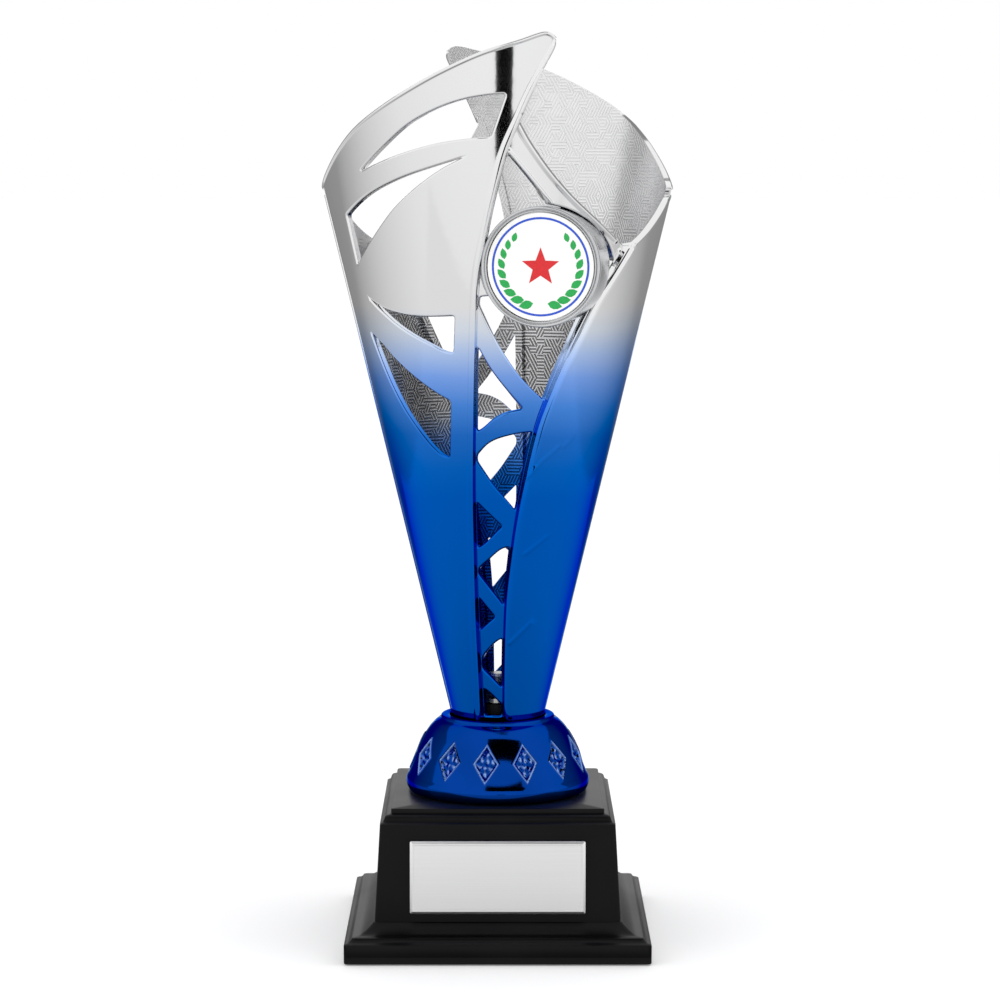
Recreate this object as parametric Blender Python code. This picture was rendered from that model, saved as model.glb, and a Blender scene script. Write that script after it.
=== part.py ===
"""Column trophy: an open-work conical column of two shells on a bell collar and a square plinth.

Units are metres in the file and millimetres in the constants. +Z is up, the name plate and the
medal face -Y, and the origin is on the floor under the middle of the plinth.
"""

import math

import bmesh
import bpy
from mathutils import Matrix, Vector, geometry

MM = 0.001

# ---- clearances ----
FIT = 0.3  # between pieces that touch or slide together
TAPE_FIT = 0.2  # either side of a strip of adhesive

# ---- plinth ----
PLINTH_W = 73.2  # across the foot
PLINTH_FASCIA_H = 4.7
PLINTH_BODY_W = 59.0  # at the bottom of the upper tier
PLINTH_NECK_W = 56.4  # at the top of the upper tier
PLINTH_TOP_W = 51.2
PLINTH_COVE_H = 4.0  # moulding between the fascia and the upper tier
PLINTH_BODY_H = 23.4
PLINTH_CROWN_H = 3.3  # moulding between the upper tier and the top face
PLINTH_WALL = 2.2
PLINTH_CORNER_R = 1.2
PLINTH_LIFT = 0.3  # the pad stands this much proud of the foot
BOSS_R = 6.5

# ---- inside the plinth ----
PAD_T = 1.6
PAD_MARGIN = 1.2
BALLAST_T = 7.5
BALLAST_MARGIN = 2.0
COUNTERBORE_H = 5.5

# ---- bolt, washers, nut ----
BOLT_D = 5.0
BOLT_HOLE_D = 5.8
HEAD_AF = 8.0
HEAD_H = 3.5
NUT_AF = 8.0
NUT_H = 4.0
WASHER_D = 10.0
WASHER_T = 1.0

# ---- name plate ----
PLATE_W = 42.0
PLATE_H = 17.5
PLATE_T = 0.7
PLATE_BEVEL = 0.35
TAPE_T = 0.3
TAPE_MARGIN = 2.0
PLATE_DROP = 0.9  # below the middle of the upper tier

# ---- collar ----
COLLAR_R = 22.6  # widest
COLLAR_H = 18.4
COLLAR_RING_R = 14.0  # top ring
COLLAR_WALL = 2.0
COLLAR_FLOOR_T = 2.0
COLLAR_POCKET_H = 5.8
DIAMONDS = 13
DIAMOND_W = 5.4
DIAMOND_H = 8.6
DIAMOND_DEPTH = 0.6
DIAMOND_AT = 9.3  # height of the centres over the collar's foot
DIAMOND_TURN = -8.3  # degrees, of the one nearest the front

# ---- column ----
COLUMN_FOOT_R = 10.64
COLUMN_TOP_R = 51.27
COLUMN_H = 168.6
COLUMN_WALL = 1.8
RECESS = 2.2  # depth of the lattice behind the panels
STEP_W = 0.4
SEAM_GAP = 0.3

# ---- column plug ----
PLUG_FLANGE_T = 1.6
PLUG_H = 7.0

# ---- medal ----
MEDAL_D = 25.0
MEDAL_T = 1.0
MEDAL_TAPE_T = 0.3
MEDAL_SINK = 0.4  # face of the medal behind the lip
BEZEL_D = 28.0
BEZEL_DEPTH = 14.0
BEZEL_FLOOR_T = 1.5
BEZEL_TURN = -11.0  # degrees about Z
MEDAL_X = 9.8
MEDAL_STANDOFF = 40.5  # lip of the bezel in front of the column's axis

# ---- worked out from the above ----
FOOT_Z = PLINTH_LIFT
FASCIA_Z = FOOT_Z + PLINTH_FASCIA_H
BODY_Z = FASCIA_Z + PLINTH_COVE_H
NECK_Z = BODY_Z + PLINTH_BODY_H
TOP_Z = NECK_Z + PLINTH_CROWN_H
COLLAR_Z = TOP_Z + FIT
COLLAR_TOP_Z = COLLAR_Z + COLLAR_H
COLLAR_FLOOR_Z = COLLAR_TOP_Z - COLLAR_POCKET_H
FLANGE_Z = COLLAR_FLOOR_Z + FIT
COLUMN_Z = FLANGE_Z + PLUG_FLANGE_T + FIT
BALLAST_Z = PAD_T + FIT
BALLAST_TOP_Z = BALLAST_Z + BALLAST_T
BORE_R = BOLT_HOLE_D / 2
RIM_RADIUS_AT_RING = COLUMN_FOOT_R + (COLUMN_TOP_R - COLUMN_FOOT_R) * (
    COLLAR_TOP_Z - COLUMN_Z
) / COLUMN_H
POCKET_R = RIM_RADIUS_AT_RING + FIT

# ---- the column's pattern, drawn on its developed outer surface ----
# Each point is (distance round from the front, height), in the size it was drawn at.
DRAWN_FOOT_Z = 50.6
DRAWN_TOP_Z = 219.2
DRAWN_FOOT_R = 10.64
DRAWN_TOP_R = 51.27
DRAWN_MEDAL_Z = 165.6

PANEL_RIM = (
    (13.9, 218.2),
    (12.9, 219.0),
    (11.4, 219.2),
    (5.3, 217.4),
    (-4.0, 214.5),
    (-13.7, 210.3),
    (-22.5, 205.9),
    (-30.9, 201.5),
    (-38.0, 197.5),
    (-44.4, 193.2),
    (-50.0, 189.5),
    (-55.0, 186.8),
    (-60.5, 184.7),
    (-66.5, 183.5),
)
PANEL_RIM_RISE = 2.8  # the rear panel's rim stands this much higher half way round
PANEL_EDGE = (
    (-4.3, 50.6),
    (-4.9, 66.0),
    (-5.5, 80.0),
    (-5.8, 95.0),
    (-6.0, 110.0),
    (-5.9, 122.0),
    (-5.7, 134.0),
    (-5.4, 147.0),
    (-5.0, 157.5),
    (-4.2, 165.6),
    (-2.9, 172.0),
    (-1.6, 178.0),
    (0.4, 185.8),
    (2.4, 192.6),
    (5.3, 199.1),
    (7.1, 203.2),
    (9.0, 207.0),
    (11.0, 210.4),
    (12.9, 213.6),
    (14.1, 215.7),
    (14.5, 217.2),
)
JOINS_STRIP = 14  # the point of PANEL_EDGE where the top strip leaves it
STRIP_TOP = (
    (8.0, 194.6),
    (11.9, 189.4),
    (15.2, 185.7),
    (19.1, 182.0),
    (23.2, 178.8),
    (27.7, 175.7),
    (32.8, 172.3),
)
WING_RIM = (
    (37.0, 169.9),
    (43.2, 172.7),
    (50.0, 176.4),
    (57.7, 180.2),
)
WING_SEAM_Z = 182.0
WING_EDGE = (
    (1.6, 50.6),
    (1.6, 63.0),
    (2.0, 83.0),
    (3.5, 96.6),
    (5.2, 107.2),
    (9.6, 126.0),
    (12.6, 133.8),
    (16.3, 141.7),
    (18.8, 146.1),
    (21.2, 150.3),
    (23.7, 154.4),
    (25.9, 157.8),
    (28.6, 160.9),
    (32.0, 164.6),
    (37.0, 169.9),
)
SLITS = (
    (
        (-36.5, 187.6),
        (-29.0, 193.0),
        (-21.6, 198.2),
        (-14.6, 201.6),
        (-8.2, 203.7),
        (-2.5, 204.7),
        (1.8, 205.0),
        (-1.6, 195.4),
        (-7.2, 195.0),
        (-12.6, 194.3),
        (-18.3, 193.1),
        (-24.3, 191.5),
        (-31.0, 189.4),
    ),
    (
        (-44.4, 177.2),
        (-36.2, 181.2),
        (-31.7, 183.2),
        (-26.3, 185.2),
        (-21.4, 186.8),
        (-16.9, 188.1),
        (-12.7, 189.3),
        (-8.1, 190.7),
        (-12.7, 188.5),
        (-17.0, 185.9),
        (-21.6, 182.7),
        (-26.7, 178.7),
        (-30.5, 175.1),
        (-34.6, 171.2),
        (-37.9, 168.2),
        (-41.2, 165.3),
    ),
    (
        (-36.8, 157.3),
        (-31.5, 155.4),
        (-28.0, 154.6),
        (-23.5, 153.9),
        (-18.5, 153.6),
        (-14.3, 153.7),
        (-10.4, 153.9),
        (-10.8, 145.2),
        (-13.0, 145.6),
        (-16.0, 146.9),
        (-20.7, 148.8),
        (-25.9, 151.2),
        (-31.0, 154.0),
    ),
    (
        (-38.0, 149.2),
        (-32.8, 146.6),
        (-28.6, 143.6),
        (-24.2, 140.7),
        (-19.4, 137.7),
        (-14.8, 135.1),
        (-11.6, 133.6),
        (-12.0, 120.0),
        (-13.8, 120.4),
        (-16.9, 122.6),
        (-21.6, 127.1),
        (-25.5, 131.2),
        (-29.6, 136.3),
        (-33.5, 141.9),
    ),
)
# Gaps of the lattice. A side that lies along a panel is drawn past that panel's edge and trimmed.
GAP_BY_MEDAL = (
    (-30.0, 166.5),
    (-30.0, 191.2),
    (2.5, 191.2),
    (7.2, 186.0),
    (12.6, 179.8),
    (12.0, 166.5),
)
GAP_BEHIND_MEDAL = (
    (-30.0, 157.0),
    (-30.0, 191.2),
    (2.5, 191.2),
    (7.2, 186.0),
    (12.6, 179.8),
    (18.0, 174.2),
    (24.0, 169.0),
    (31.5, 162.5),
    (60.0, 162.5),
    (60.0, 157.0),
)
GAP_UNDER_MEDAL = (
    (-30.0, 157.2),
    (-2.2, 158.6),
    (12.0, 162.0),
    (60.0, 162.0),
    (60.0, 134.0),
    (11.9, 134.0),
    (8.3, 137.0),
    (4.7, 140.8),
    (-0.1, 147.8),
    (-4.6, 156.4),
    (-30.0, 156.6),
)
LATTICE_GAPS = (
    (
        (-30.0, 147.2),
        (-5.5, 147.2),
        (-1.6, 141.0),
        (2.9, 135.6),
        (6.6, 131.7),
        (2.6, 131.0),
        (-0.6, 129.7),
        (-6.2, 126.2),
        (-30.0, 126.2),
    ),
    (
        (-6.2, 119.8),
        (-1.8, 123.7),
        (4.6, 125.6),
        (9.4, 126.0),
        (60.0, 126.0),
        (60.0, 106.8),
        (5.0, 106.8),
        (3.0, 109.0),
        (-1.0, 113.2),
    ),
    (
        (-30.0, 109.6),
        (-6.3, 109.6),
        (1.2, 103.0),
        (-6.3, 97.6),
        (-30.0, 97.6),
    ),
    (
        (-5.9, 91.8),
        (-3.1, 94.2),
        (2.6, 97.8),
        (60.0, 97.8),
        (60.0, 82.8),
        (2.3, 82.8),
    ),
    (
        (-30.0, 86.0),
        (-6.0, 86.0),
        (-0.7, 80.4),
        (-6.0, 76.4),
        (-30.0, 76.4),
    ),
    (
        (-5.2, 67.9),
        (-3.7, 71.0),
        (2.0, 75.0),
        (60.0, 75.0),
        (60.0, 61.9),
        (2.0, 61.9),
    ),
    (
        (-30.0, 62.2),
        (-5.0, 62.2),
        (1.5, 57.8),
        (1.5, 55.2),
        (-30.0, 55.2),
    ),
)

# The plug clears the widest facet inside the recess, at the column's foot.
RECESS_FOOT_SPAN = (WING_EDGE[0][0] - PANEL_EDGE[0][0]) / DRAWN_FOOT_R
FACET_HALF_SPAN = RECESS_FOOT_SPAN / 2 + (COLUMN_WALL - STEP_W) / COLUMN_FOOT_R
PLUG_R = (COLUMN_FOOT_R - RECESS - COLUMN_WALL) * math.cos(FACET_HALF_SPAN) - FIT

COLOURS = {
    "black_abs": ((0.012, 0.012, 0.013), 0.32, 0.0),
    "black_eva": ((0.02, 0.02, 0.02), 0.9, 0.0),
    "steel_plate": ((0.35, 0.35, 0.36), 0.45, 1.0),
    "zinc_steel": ((0.62, 0.62, 0.60), 0.3, 1.0),
    "satin_aluminium": ((0.78, 0.78, 0.78), 0.35, 1.0),
    "tape": ((0.8, 0.8, 0.77), 0.7, 0.0),
    "blue_metallised": ((0.01, 0.07, 0.42), 0.14, 0.9),
    "faded_metallised": ((0.45, 0.55, 0.80), 0.14, 0.9),
    "silver_metallised": ((0.85, 0.85, 0.85), 0.14, 0.9),
    "black_nylon": ((0.02, 0.02, 0.022), 0.5, 0.0),
    "printed_card": ((0.9, 0.9, 0.9), 0.35, 0.0),
}


def clear_scene():
    for obj in list(bpy.data.objects):
        bpy.data.objects.remove(obj, do_unlink=True)


def material(name):
    found = bpy.data.materials.get(name)
    if found:
        return found
    colour, roughness, metallic = COLOURS[name]
    made = bpy.data.materials.new(name)
    made.use_nodes = True
    shader = made.node_tree.nodes["Principled BSDF"]
    shader.inputs["Base Color"].default_value = (*colour, 1.0)
    shader.inputs["Roughness"].default_value = roughness
    shader.inputs["Metallic"].default_value = metallic
    return made


def finish(bm, name, surface, smooth=None):
    """Turns the bmesh, in millimetres, into a named object in metres."""
    bmesh.ops.recalc_face_normals(bm, faces=bm.faces)
    bmesh.ops.scale(bm, vec=(MM, MM, MM), verts=bm.verts)
    mesh = bpy.data.meshes.new(name)
    bm.to_mesh(mesh)
    bm.free()
    mesh.materials.append(material(surface))
    obj = bpy.data.objects.new(name, mesh)
    bpy.context.scene.collection.objects.link(obj)
    if smooth is not None:
        mesh.shade_smooth()
        mesh.set_sharp_from_angle(angle=math.radians(smooth))
    return obj


def place(obj, x=0.0, y=0.0, z=0.0):
    obj.location = (x * MM, y * MM, z * MM)
    return obj


def hide(obj):
    obj.hide_render = True
    obj.display_type = "WIRE"
    return obj


def cut(obj, cutter):
    modifier = obj.modifiers.new("cut", "BOOLEAN")
    modifier.operation = "DIFFERENCE"
    modifier.solver = "EXACT"
    modifier.object = cutter


def bridge(bm, lower, upper):
    """Quads between two closed rings of as many vertices."""
    count = len(lower)
    for i in range(count):
        j = (i + 1) % count
        bm.faces.new((lower[i], lower[j], upper[j], upper[i]))


def turned(profile, segments):
    """A bmesh turned about Z from a closed profile of (radius, height) points off the axis."""
    bm = bmesh.new()
    rings = []
    for radius, height in profile:
        ring = []
        for k in range(segments):
            angle = 2 * math.pi * k / segments
            ring.append(bm.verts.new((radius * math.cos(angle), radius * math.sin(angle), height)))
        rings.append(ring)
    for i, ring in enumerate(rings):
        bridge(bm, ring, rings[(i + 1) % len(rings)])
    return bm


def rounded_square(half, radius, steps=3):
    """Points round a square with rounded corners."""
    points = []
    centre = half - radius
    for corner in range(4):
        start = corner * math.pi / 2
        cx = centre if corner in (0, 3) else -centre
        cy = centre if corner in (0, 1) else -centre
        for k in range(steps + 1):
            angle = start + (math.pi / 2) * k / steps
            points.append((cx + radius * math.cos(angle), cy + radius * math.sin(angle)))
    return points


def plinth_rings():
    """(half width, height) pairs up the outside of the plinth."""
    foot = PLINTH_W / 2
    body = PLINTH_BODY_W / 2
    neck = PLINTH_NECK_W / 2
    top = PLINTH_TOP_W / 2
    cove = foot - body
    crown = neck - top
    return [
        (foot, FOOT_Z),
        (foot, FASCIA_Z),
        (foot - cove * 0.20, FASCIA_Z + PLINTH_COVE_H * 0.11),
        (foot - cove * 0.27, FASCIA_Z + PLINTH_COVE_H * 0.25),
        (foot - cove * 0.53, FASCIA_Z + PLINTH_COVE_H * 0.37),
        (foot - cove * 0.75, FASCIA_Z + PLINTH_COVE_H * 0.55),
        (foot - cove * 0.90, FASCIA_Z + PLINTH_COVE_H * 0.78),
        (body + cove * 0.04, BODY_Z),
        (body, BODY_Z),
        (neck, NECK_Z),
        (neck - crown * 0.35, NECK_Z + PLINTH_CROWN_H * 0.12),
        (neck - crown * 0.42, NECK_Z + PLINTH_CROWN_H * 0.36),
        (neck - crown * 0.60, NECK_Z + PLINTH_CROWN_H * 0.54),
        (neck - crown * 0.94, NECK_Z + PLINTH_CROWN_H * 0.64),
        (top, NECK_Z + PLINTH_CROWN_H * 0.66),
        (top, TOP_Z),
    ]


def round_ring(bm, radius, height, count):
    ring = []
    for k in range(count):
        angle = 2 * math.pi * k / count
        ring.append(bm.verts.new((radius * math.cos(angle), radius * math.sin(angle), height)))
    return ring


def cap_between(bm, outer, inner):
    """Fills the flat region between two rings with different counts."""
    edges = []
    for ring in (outer, inner):
        for i, vert in enumerate(ring):
            other = ring[(i + 1) % len(ring)]
            edge = bm.edges.get((vert, other)) or bm.edges.new((vert, other))
            edges.append(edge)
    bmesh.ops.triangle_fill(bm, use_beauty=True, use_dissolve=False, edges=edges)


def make_plinth():
    bm = bmesh.new()
    wall = PLINTH_WALL
    outside = plinth_rings()
    rings = [
        [bm.verts.new((x, y, z)) for x, y in rounded_square(half, PLINTH_CORNER_R)]
        for half, z in outside
    ]
    for lower, upper in zip(rings, rings[1:]):
        bridge(bm, lower, upper)
    ceiling = TOP_Z - wall
    slope = (PLINTH_BODY_W - PLINTH_NECK_W) / 2 / PLINTH_BODY_H
    inner_neck = min(PLINTH_NECK_W / 2 + slope * (NECK_Z - ceiling), PLINTH_TOP_W / 2 + wall) - wall
    inside = [
        (PLINTH_W / 2 - wall, FOOT_Z),
        (PLINTH_W / 2 - wall, FASCIA_Z - wall * 0.6),
        (PLINTH_BODY_W / 2 - wall, BODY_Z - wall * 0.6),
        (inner_neck, ceiling),
    ]
    corner = PLINTH_CORNER_R * 0.5
    inner_rings = [
        [bm.verts.new((x, y, z)) for x, y in rounded_square(half, corner)] for half, z in inside
    ]
    for lower, upper in zip(inner_rings, inner_rings[1:]):
        bridge(bm, upper, lower)
    bridge(bm, inner_rings[0], rings[0])
    count = 24
    bore_top = round_ring(bm, BORE_R, TOP_Z, count)
    bore_low = round_ring(bm, BORE_R, BALLAST_TOP_Z + FIT, count)
    boss_low = round_ring(bm, BOSS_R, BALLAST_TOP_Z + FIT, count)
    boss_top = round_ring(bm, BOSS_R, ceiling, count)
    bridge(bm, bore_top, bore_low)
    bridge(bm, bore_low, boss_low)
    bridge(bm, boss_low, boss_top)
    cap_between(bm, rings[-1], bore_top)
    cap_between(bm, inner_rings[-1], boss_top)
    return finish(bm, "plinth_shell", "black_abs", 35)


def box(width, depth, height, corner=0.0):
    """A bmesh block on z = 0 with its vertical edges rounded."""
    bm = bmesh.new()
    half_x = width / 2
    half_y = depth / 2
    lower = []
    upper = []
    for x, y in rounded_square(1.0 + corner, corner) if corner else ((1, 1), (-1, 1), (-1, -1), (1, -1)):
        if corner:
            px = math.copysign(half_x - corner - 1.0, x) + x
            py = math.copysign(half_y - corner - 1.0, y) + y
        else:
            px = x * half_x
            py = y * half_y
        lower.append(bm.verts.new((px, py, 0.0)))
        upper.append(bm.verts.new((px, py, height)))
    bridge(bm, lower, upper)
    bm.faces.new(list(reversed(lower)))
    bm.faces.new(upper)
    return bm


def make_pad():
    width = PLINTH_W - 2 * PLINTH_WALL - 2 * PAD_MARGIN
    return finish(box(width, width, PAD_T, 1.5), "base_pad", "black_eva")


def make_ballast():
    width = PLINTH_W - 2 * PLINTH_WALL - 2 * BALLAST_MARGIN
    cove_room = PLINTH_BODY_W - 2 * PLINTH_WALL - 4 * FIT
    width = min(width, cove_room)
    plate = place(finish(box(width, width, BALLAST_T, 1.5), "ballast_plate", "steel_plate"), z=BALLAST_Z)
    counterbore = WASHER_D / 2 + 2 * FIT
    steps = [
        (0.0, -1.0),
        (counterbore, -1.0),
        (counterbore, COUNTERBORE_H),
        (BORE_R, COUNTERBORE_H),
        (BORE_R, BALLAST_T + 1.0),
        (0.0, BALLAST_T + 1.0),
    ]
    cutter = hide(place(finish(capped_turn(steps, 32), "ballast_bore", "steel_plate"), z=BALLAST_Z))
    cut(plate, cutter)
    return plate


def capped_turn(profile, segments):
    """A solid turned about Z from an open profile whose ends lie on the axis."""
    bm = bmesh.new()
    rings = []
    for radius, height in profile[1:-1]:
        rings.append(round_ring(bm, radius, height, segments))
    for lower, upper in zip(rings, rings[1:]):
        bridge(bm, lower, upper)
    bm.faces.new(list(reversed(rings[0])))
    bm.faces.new(rings[-1])
    return bm


def hexagon(bm, flats, height):
    ring = []
    for k in range(6):
        angle = math.pi / 6 + k * math.pi / 3
        radius = flats / 2 / math.cos(math.pi / 6)
        ring.append(bm.verts.new((radius * math.cos(angle), radius * math.sin(angle), height)))
    return ring


def bolt_heights():
    """(under the head, seat of the lower washer, underside of the nut, end of the thread)."""
    bore_seat = BALLAST_Z + COUNTERBORE_H
    washer_z = bore_seat - FIT - WASHER_T
    head_top = washer_z - FIT
    nut_z = FLANGE_Z + PLUG_FLANGE_T + PLUG_H + FIT + WASHER_T + FIT
    return head_top, washer_z, nut_z, nut_z + NUT_H + 1.5


def make_bolt():
    head_top, _, _, end = bolt_heights()
    bm = bmesh.new()
    low = hexagon(bm, HEAD_AF, -HEAD_H)
    high = hexagon(bm, HEAD_AF, 0.0)
    bridge(bm, low, high)
    bm.faces.new(list(reversed(low)))
    count = 24
    shank_low = round_ring(bm, BOLT_D / 2, 0.0, count)
    shank_high = round_ring(bm, BOLT_D / 2, end - head_top - 0.6, count)
    tip = round_ring(bm, BOLT_D / 2 - 0.5, end - head_top, count)
    cap_between(bm, high, shank_low)
    bridge(bm, shank_low, shank_high)
    bridge(bm, shank_high, tip)
    bm.faces.new(tip)
    return place(finish(bm, "tie_bolt", "zinc_steel", 35), z=head_top)


def make_washer(name, z):
    profile = (
        (BORE_R, 0.0),
        (WASHER_D / 2, 0.0),
        (WASHER_D / 2, WASHER_T),
        (BORE_R, WASHER_T),
    )
    return place(finish(turned(profile, 32), name, "zinc_steel", 35), z=z)


def make_nut(z):
    bm = bmesh.new()
    hole = BOLT_D / 2 + FIT
    low = hexagon(bm, NUT_AF, 0.0)
    high = hexagon(bm, NUT_AF, NUT_H)
    bridge(bm, low, high)
    hole_low = round_ring(bm, hole, 0.0, 24)
    hole_high = round_ring(bm, hole, NUT_H, 24)
    bridge(bm, hole_high, hole_low)
    cap_between(bm, low, hole_low)
    cap_between(bm, high, hole_high)
    return place(finish(bm, "hex_nut", "zinc_steel", 35), z=z)


def face_tilt():
    """How far the upper tier's faces lean back, in radians."""
    return math.atan2((PLINTH_BODY_W - PLINTH_NECK_W) / 2, PLINTH_BODY_H)


def on_front_face(obj, stand_off):
    """Stands a piece that was made in the XZ plane on the front of the upper tier."""
    z = (BODY_Z + NECK_Z) / 2 - PLATE_DROP
    share = (z - BODY_Z) / PLINTH_BODY_H
    face = (PLINTH_BODY_W + (PLINTH_NECK_W - PLINTH_BODY_W) * share) / 2
    tilt = face_tilt()
    place(obj, 0.0, -face - stand_off * math.cos(tilt), z + stand_off * math.sin(tilt))
    obj.rotation_euler = (-tilt, 0.0, 0.0)
    return obj


def upright_sheet(width, height, thickness, bevel=0.0):
    """A sheet whose back lies in the XZ plane and whose front faces -Y."""
    bm = bmesh.new()
    levels = [(0.0, 0.0), (thickness - bevel, 0.0)]
    if bevel:
        levels.append((thickness, bevel))
    rings = []
    for depth, inset in levels:
        ring = []
        for sx, sz in ((1, 1), (-1, 1), (-1, -1), (1, -1)):
            ring.append(bm.verts.new((sx * (width / 2 - inset), -depth, sz * (height / 2 - inset))))
        rings.append(ring)
    for lower, upper in zip(rings, rings[1:]):
        bridge(bm, lower, upper)
    bm.faces.new(list(reversed(rings[0])))
    bm.faces.new(rings[-1])
    return bm


def make_name_plate():
    tape = finish(
        upright_sheet(PLATE_W - 2 * TAPE_MARGIN, PLATE_H - 2 * TAPE_MARGIN, TAPE_T),
        "plate_adhesive",
        "tape",
    )
    on_front_face(tape, TAPE_FIT)
    plate = finish(upright_sheet(PLATE_W, PLATE_H, PLATE_T, PLATE_BEVEL), "name_plate", "satin_aluminium")
    on_front_face(plate, TAPE_FIT + TAPE_T + TAPE_FIT)
    return plate


def collar_outline():
    """(radius, height) points up the outside of the collar, its foot at height 0."""
    span = COLLAR_R - COLLAR_RING_R
    shape = (
        (0.92, 0.000),
        (0.975, 0.045),
        (1.00, 0.120),
        (0.985, 0.170),
        (0.93, 0.215),
        (0.81, 0.350),
        (0.70, 0.490),
        (0.58, 0.620),
        (0.44, 0.745),
        (0.31, 0.835),
        (0.17, 0.905),
        (0.06, 0.945),
        (0.00, 0.955),
        (0.00, 1.000),
    )
    return [(COLLAR_RING_R + span * s, COLLAR_H * h) for s, h in shape]


def collar_wall_at(height):
    """The outer radius of the collar and its lean, in radians, at a height over its foot."""
    outline = collar_outline()
    for (r0, h0), (r1, h1) in zip(outline, outline[1:]):
        if h0 <= height <= h1:
            return r0 + (r1 - r0) * (height - h0) / (h1 - h0), math.atan2(r0 - r1, h1 - h0)
    return outline[-1][0], 0.0


def diamond_cutter():
    radius, lean = collar_wall_at(DIAMOND_AT)
    bm = bmesh.new()
    for k in range(DIAMONDS):
        azimuth = math.radians(DIAMOND_TURN) + 2 * math.pi * k / DIAMONDS
        turn = Matrix.Rotation(azimuth, 4, "Z")
        tilt = Matrix.Rotation(-lean, 4, "X")
        seat = turn @ Matrix.Translation((0.0, -radius, DIAMOND_AT)) @ tilt
        rings = []
        for depth, share in ((-2.0, 1.25), (DIAMOND_DEPTH, 0.92)):
            ring = []
            for sx, sz in ((1, 0), (0, 1), (-1, 0), (0, -1)):
                corner = Vector((sx * share * DIAMOND_W / 2, depth, sz * share * DIAMOND_H / 2))
                ring.append(bm.verts.new(seat @ corner))
            rings.append(ring)
        bridge(bm, rings[0], rings[1])
        bm.faces.new(list(reversed(rings[0])))
        bm.faces.new(rings[1])
    return hide(place(finish(bm, "diamond_cutter", "blue_metallised"), z=COLLAR_Z))


def make_collar():
    floor_top = COLLAR_H - COLLAR_POCKET_H
    floor_low = floor_top - COLLAR_FLOOR_T
    outline = collar_outline()
    low_wall = collar_wall_at(floor_low)[0] - COLLAR_WALL
    mid = floor_low * 0.55
    profile = outline + [
        (POCKET_R, COLLAR_H),
        (POCKET_R, floor_top),
        (BORE_R, floor_top),
        (BORE_R, floor_low),
        (low_wall - 1.2, floor_low),
        (low_wall, floor_low - 1.2),
        (collar_wall_at(mid)[0] - COLLAR_WALL, mid),
        (outline[0][0] - COLLAR_WALL, 0.0),
    ]
    collar = place(finish(turned(profile, 56), "foot_collar", "blue_metallised", 35), z=COLLAR_Z)
    cut(collar, diamond_cutter())
    return collar


def make_plug():
    """Flanged plug in the column's foot; the flange lies under both shells."""
    flange = min(COLUMN_FOOT_R, POCKET_R - FIT)
    profile = (
        (BORE_R, 0.0),
        (flange, 0.0),
        (flange, PLUG_FLANGE_T),
        (PLUG_R, PLUG_FLANGE_T),
        (PLUG_R, PLUG_FLANGE_T + PLUG_H),
        (BORE_R, PLUG_FLANGE_T + PLUG_H),
    )
    return place(finish(turned(profile, 40), "column_plug", "black_nylon", 35), z=FLANGE_Z)


# ---- the column's shells ----


def drawn_radius(z):
    share = (z - DRAWN_FOOT_Z) / (DRAWN_TOP_Z - DRAWN_FOOT_Z)
    return DRAWN_FOOT_R + (DRAWN_TOP_R - DRAWN_FOOT_R) * share


def cone_radius(height):
    """Outer radius of the column at a height over its foot."""
    return COLUMN_FOOT_R + (COLUMN_TOP_R - COLUMN_FOOT_R) * height / COLUMN_H


def to_column(point):
    """A drawn point as (distance round, height over the foot) on the real cone."""
    around, z = point
    height = (z - DRAWN_FOOT_Z) / (DRAWN_TOP_Z - DRAWN_FOOT_Z) * COLUMN_H
    return (around / drawn_radius(z) * cone_radius(height), height)


def seam(height, side):
    return (side * (cone_radius(height) * math.pi / 2 - SEAM_GAP / 2), height)


def between(start, end, share):
    return (start[0] + (end[0] - start[0]) * share, start[1] + (end[1] - start[1]) * share)


def distance_to_line(point, line):
    """Signed distance to a polyline that runs upward: positive on its right."""
    px, pz = point
    best = None
    for (ax, az), (bx, bz) in zip(line, line[1:]):
        dx = bx - ax
        dz = bz - az
        length = dx * dx + dz * dz
        share = max(0.0, min(1.0, ((px - ax) * dx + (pz - az) * dz) / length))
        qx = ax + share * dx
        qz = az + share * dz
        gap = math.hypot(px - qx, pz - qz)
        side = (px - ax) * dz - (pz - az) * dx
        if best is None or gap < best[0] - 1e-9:
            best = (gap, side)
    return math.copysign(best[0], best[1])


def beside(line, shift):
    """The polyline moved to its right by shift, and run on a little at its top end."""
    moved = []
    for i, (x, z) in enumerate(line):
        ax, az = line[max(0, i - 1)]
        bx, bz = line[min(len(line) - 1, i + 1)]
        length = math.hypot(bx - ax, bz - az)
        moved.append((x + (bz - az) / length * shift, z - (bx - ax) / length * shift))
    return moved


def inside(point, loop):
    px, pz = point
    odd = False
    for (ax, az), (bx, bz) in zip(loop, loop[1:] + loop[:1]):
        if (az > pz) != (bz > pz):
            if px < (bx - ax) * (pz - az) / (bz - az) + ax:
                odd = not odd
    return odd


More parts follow.
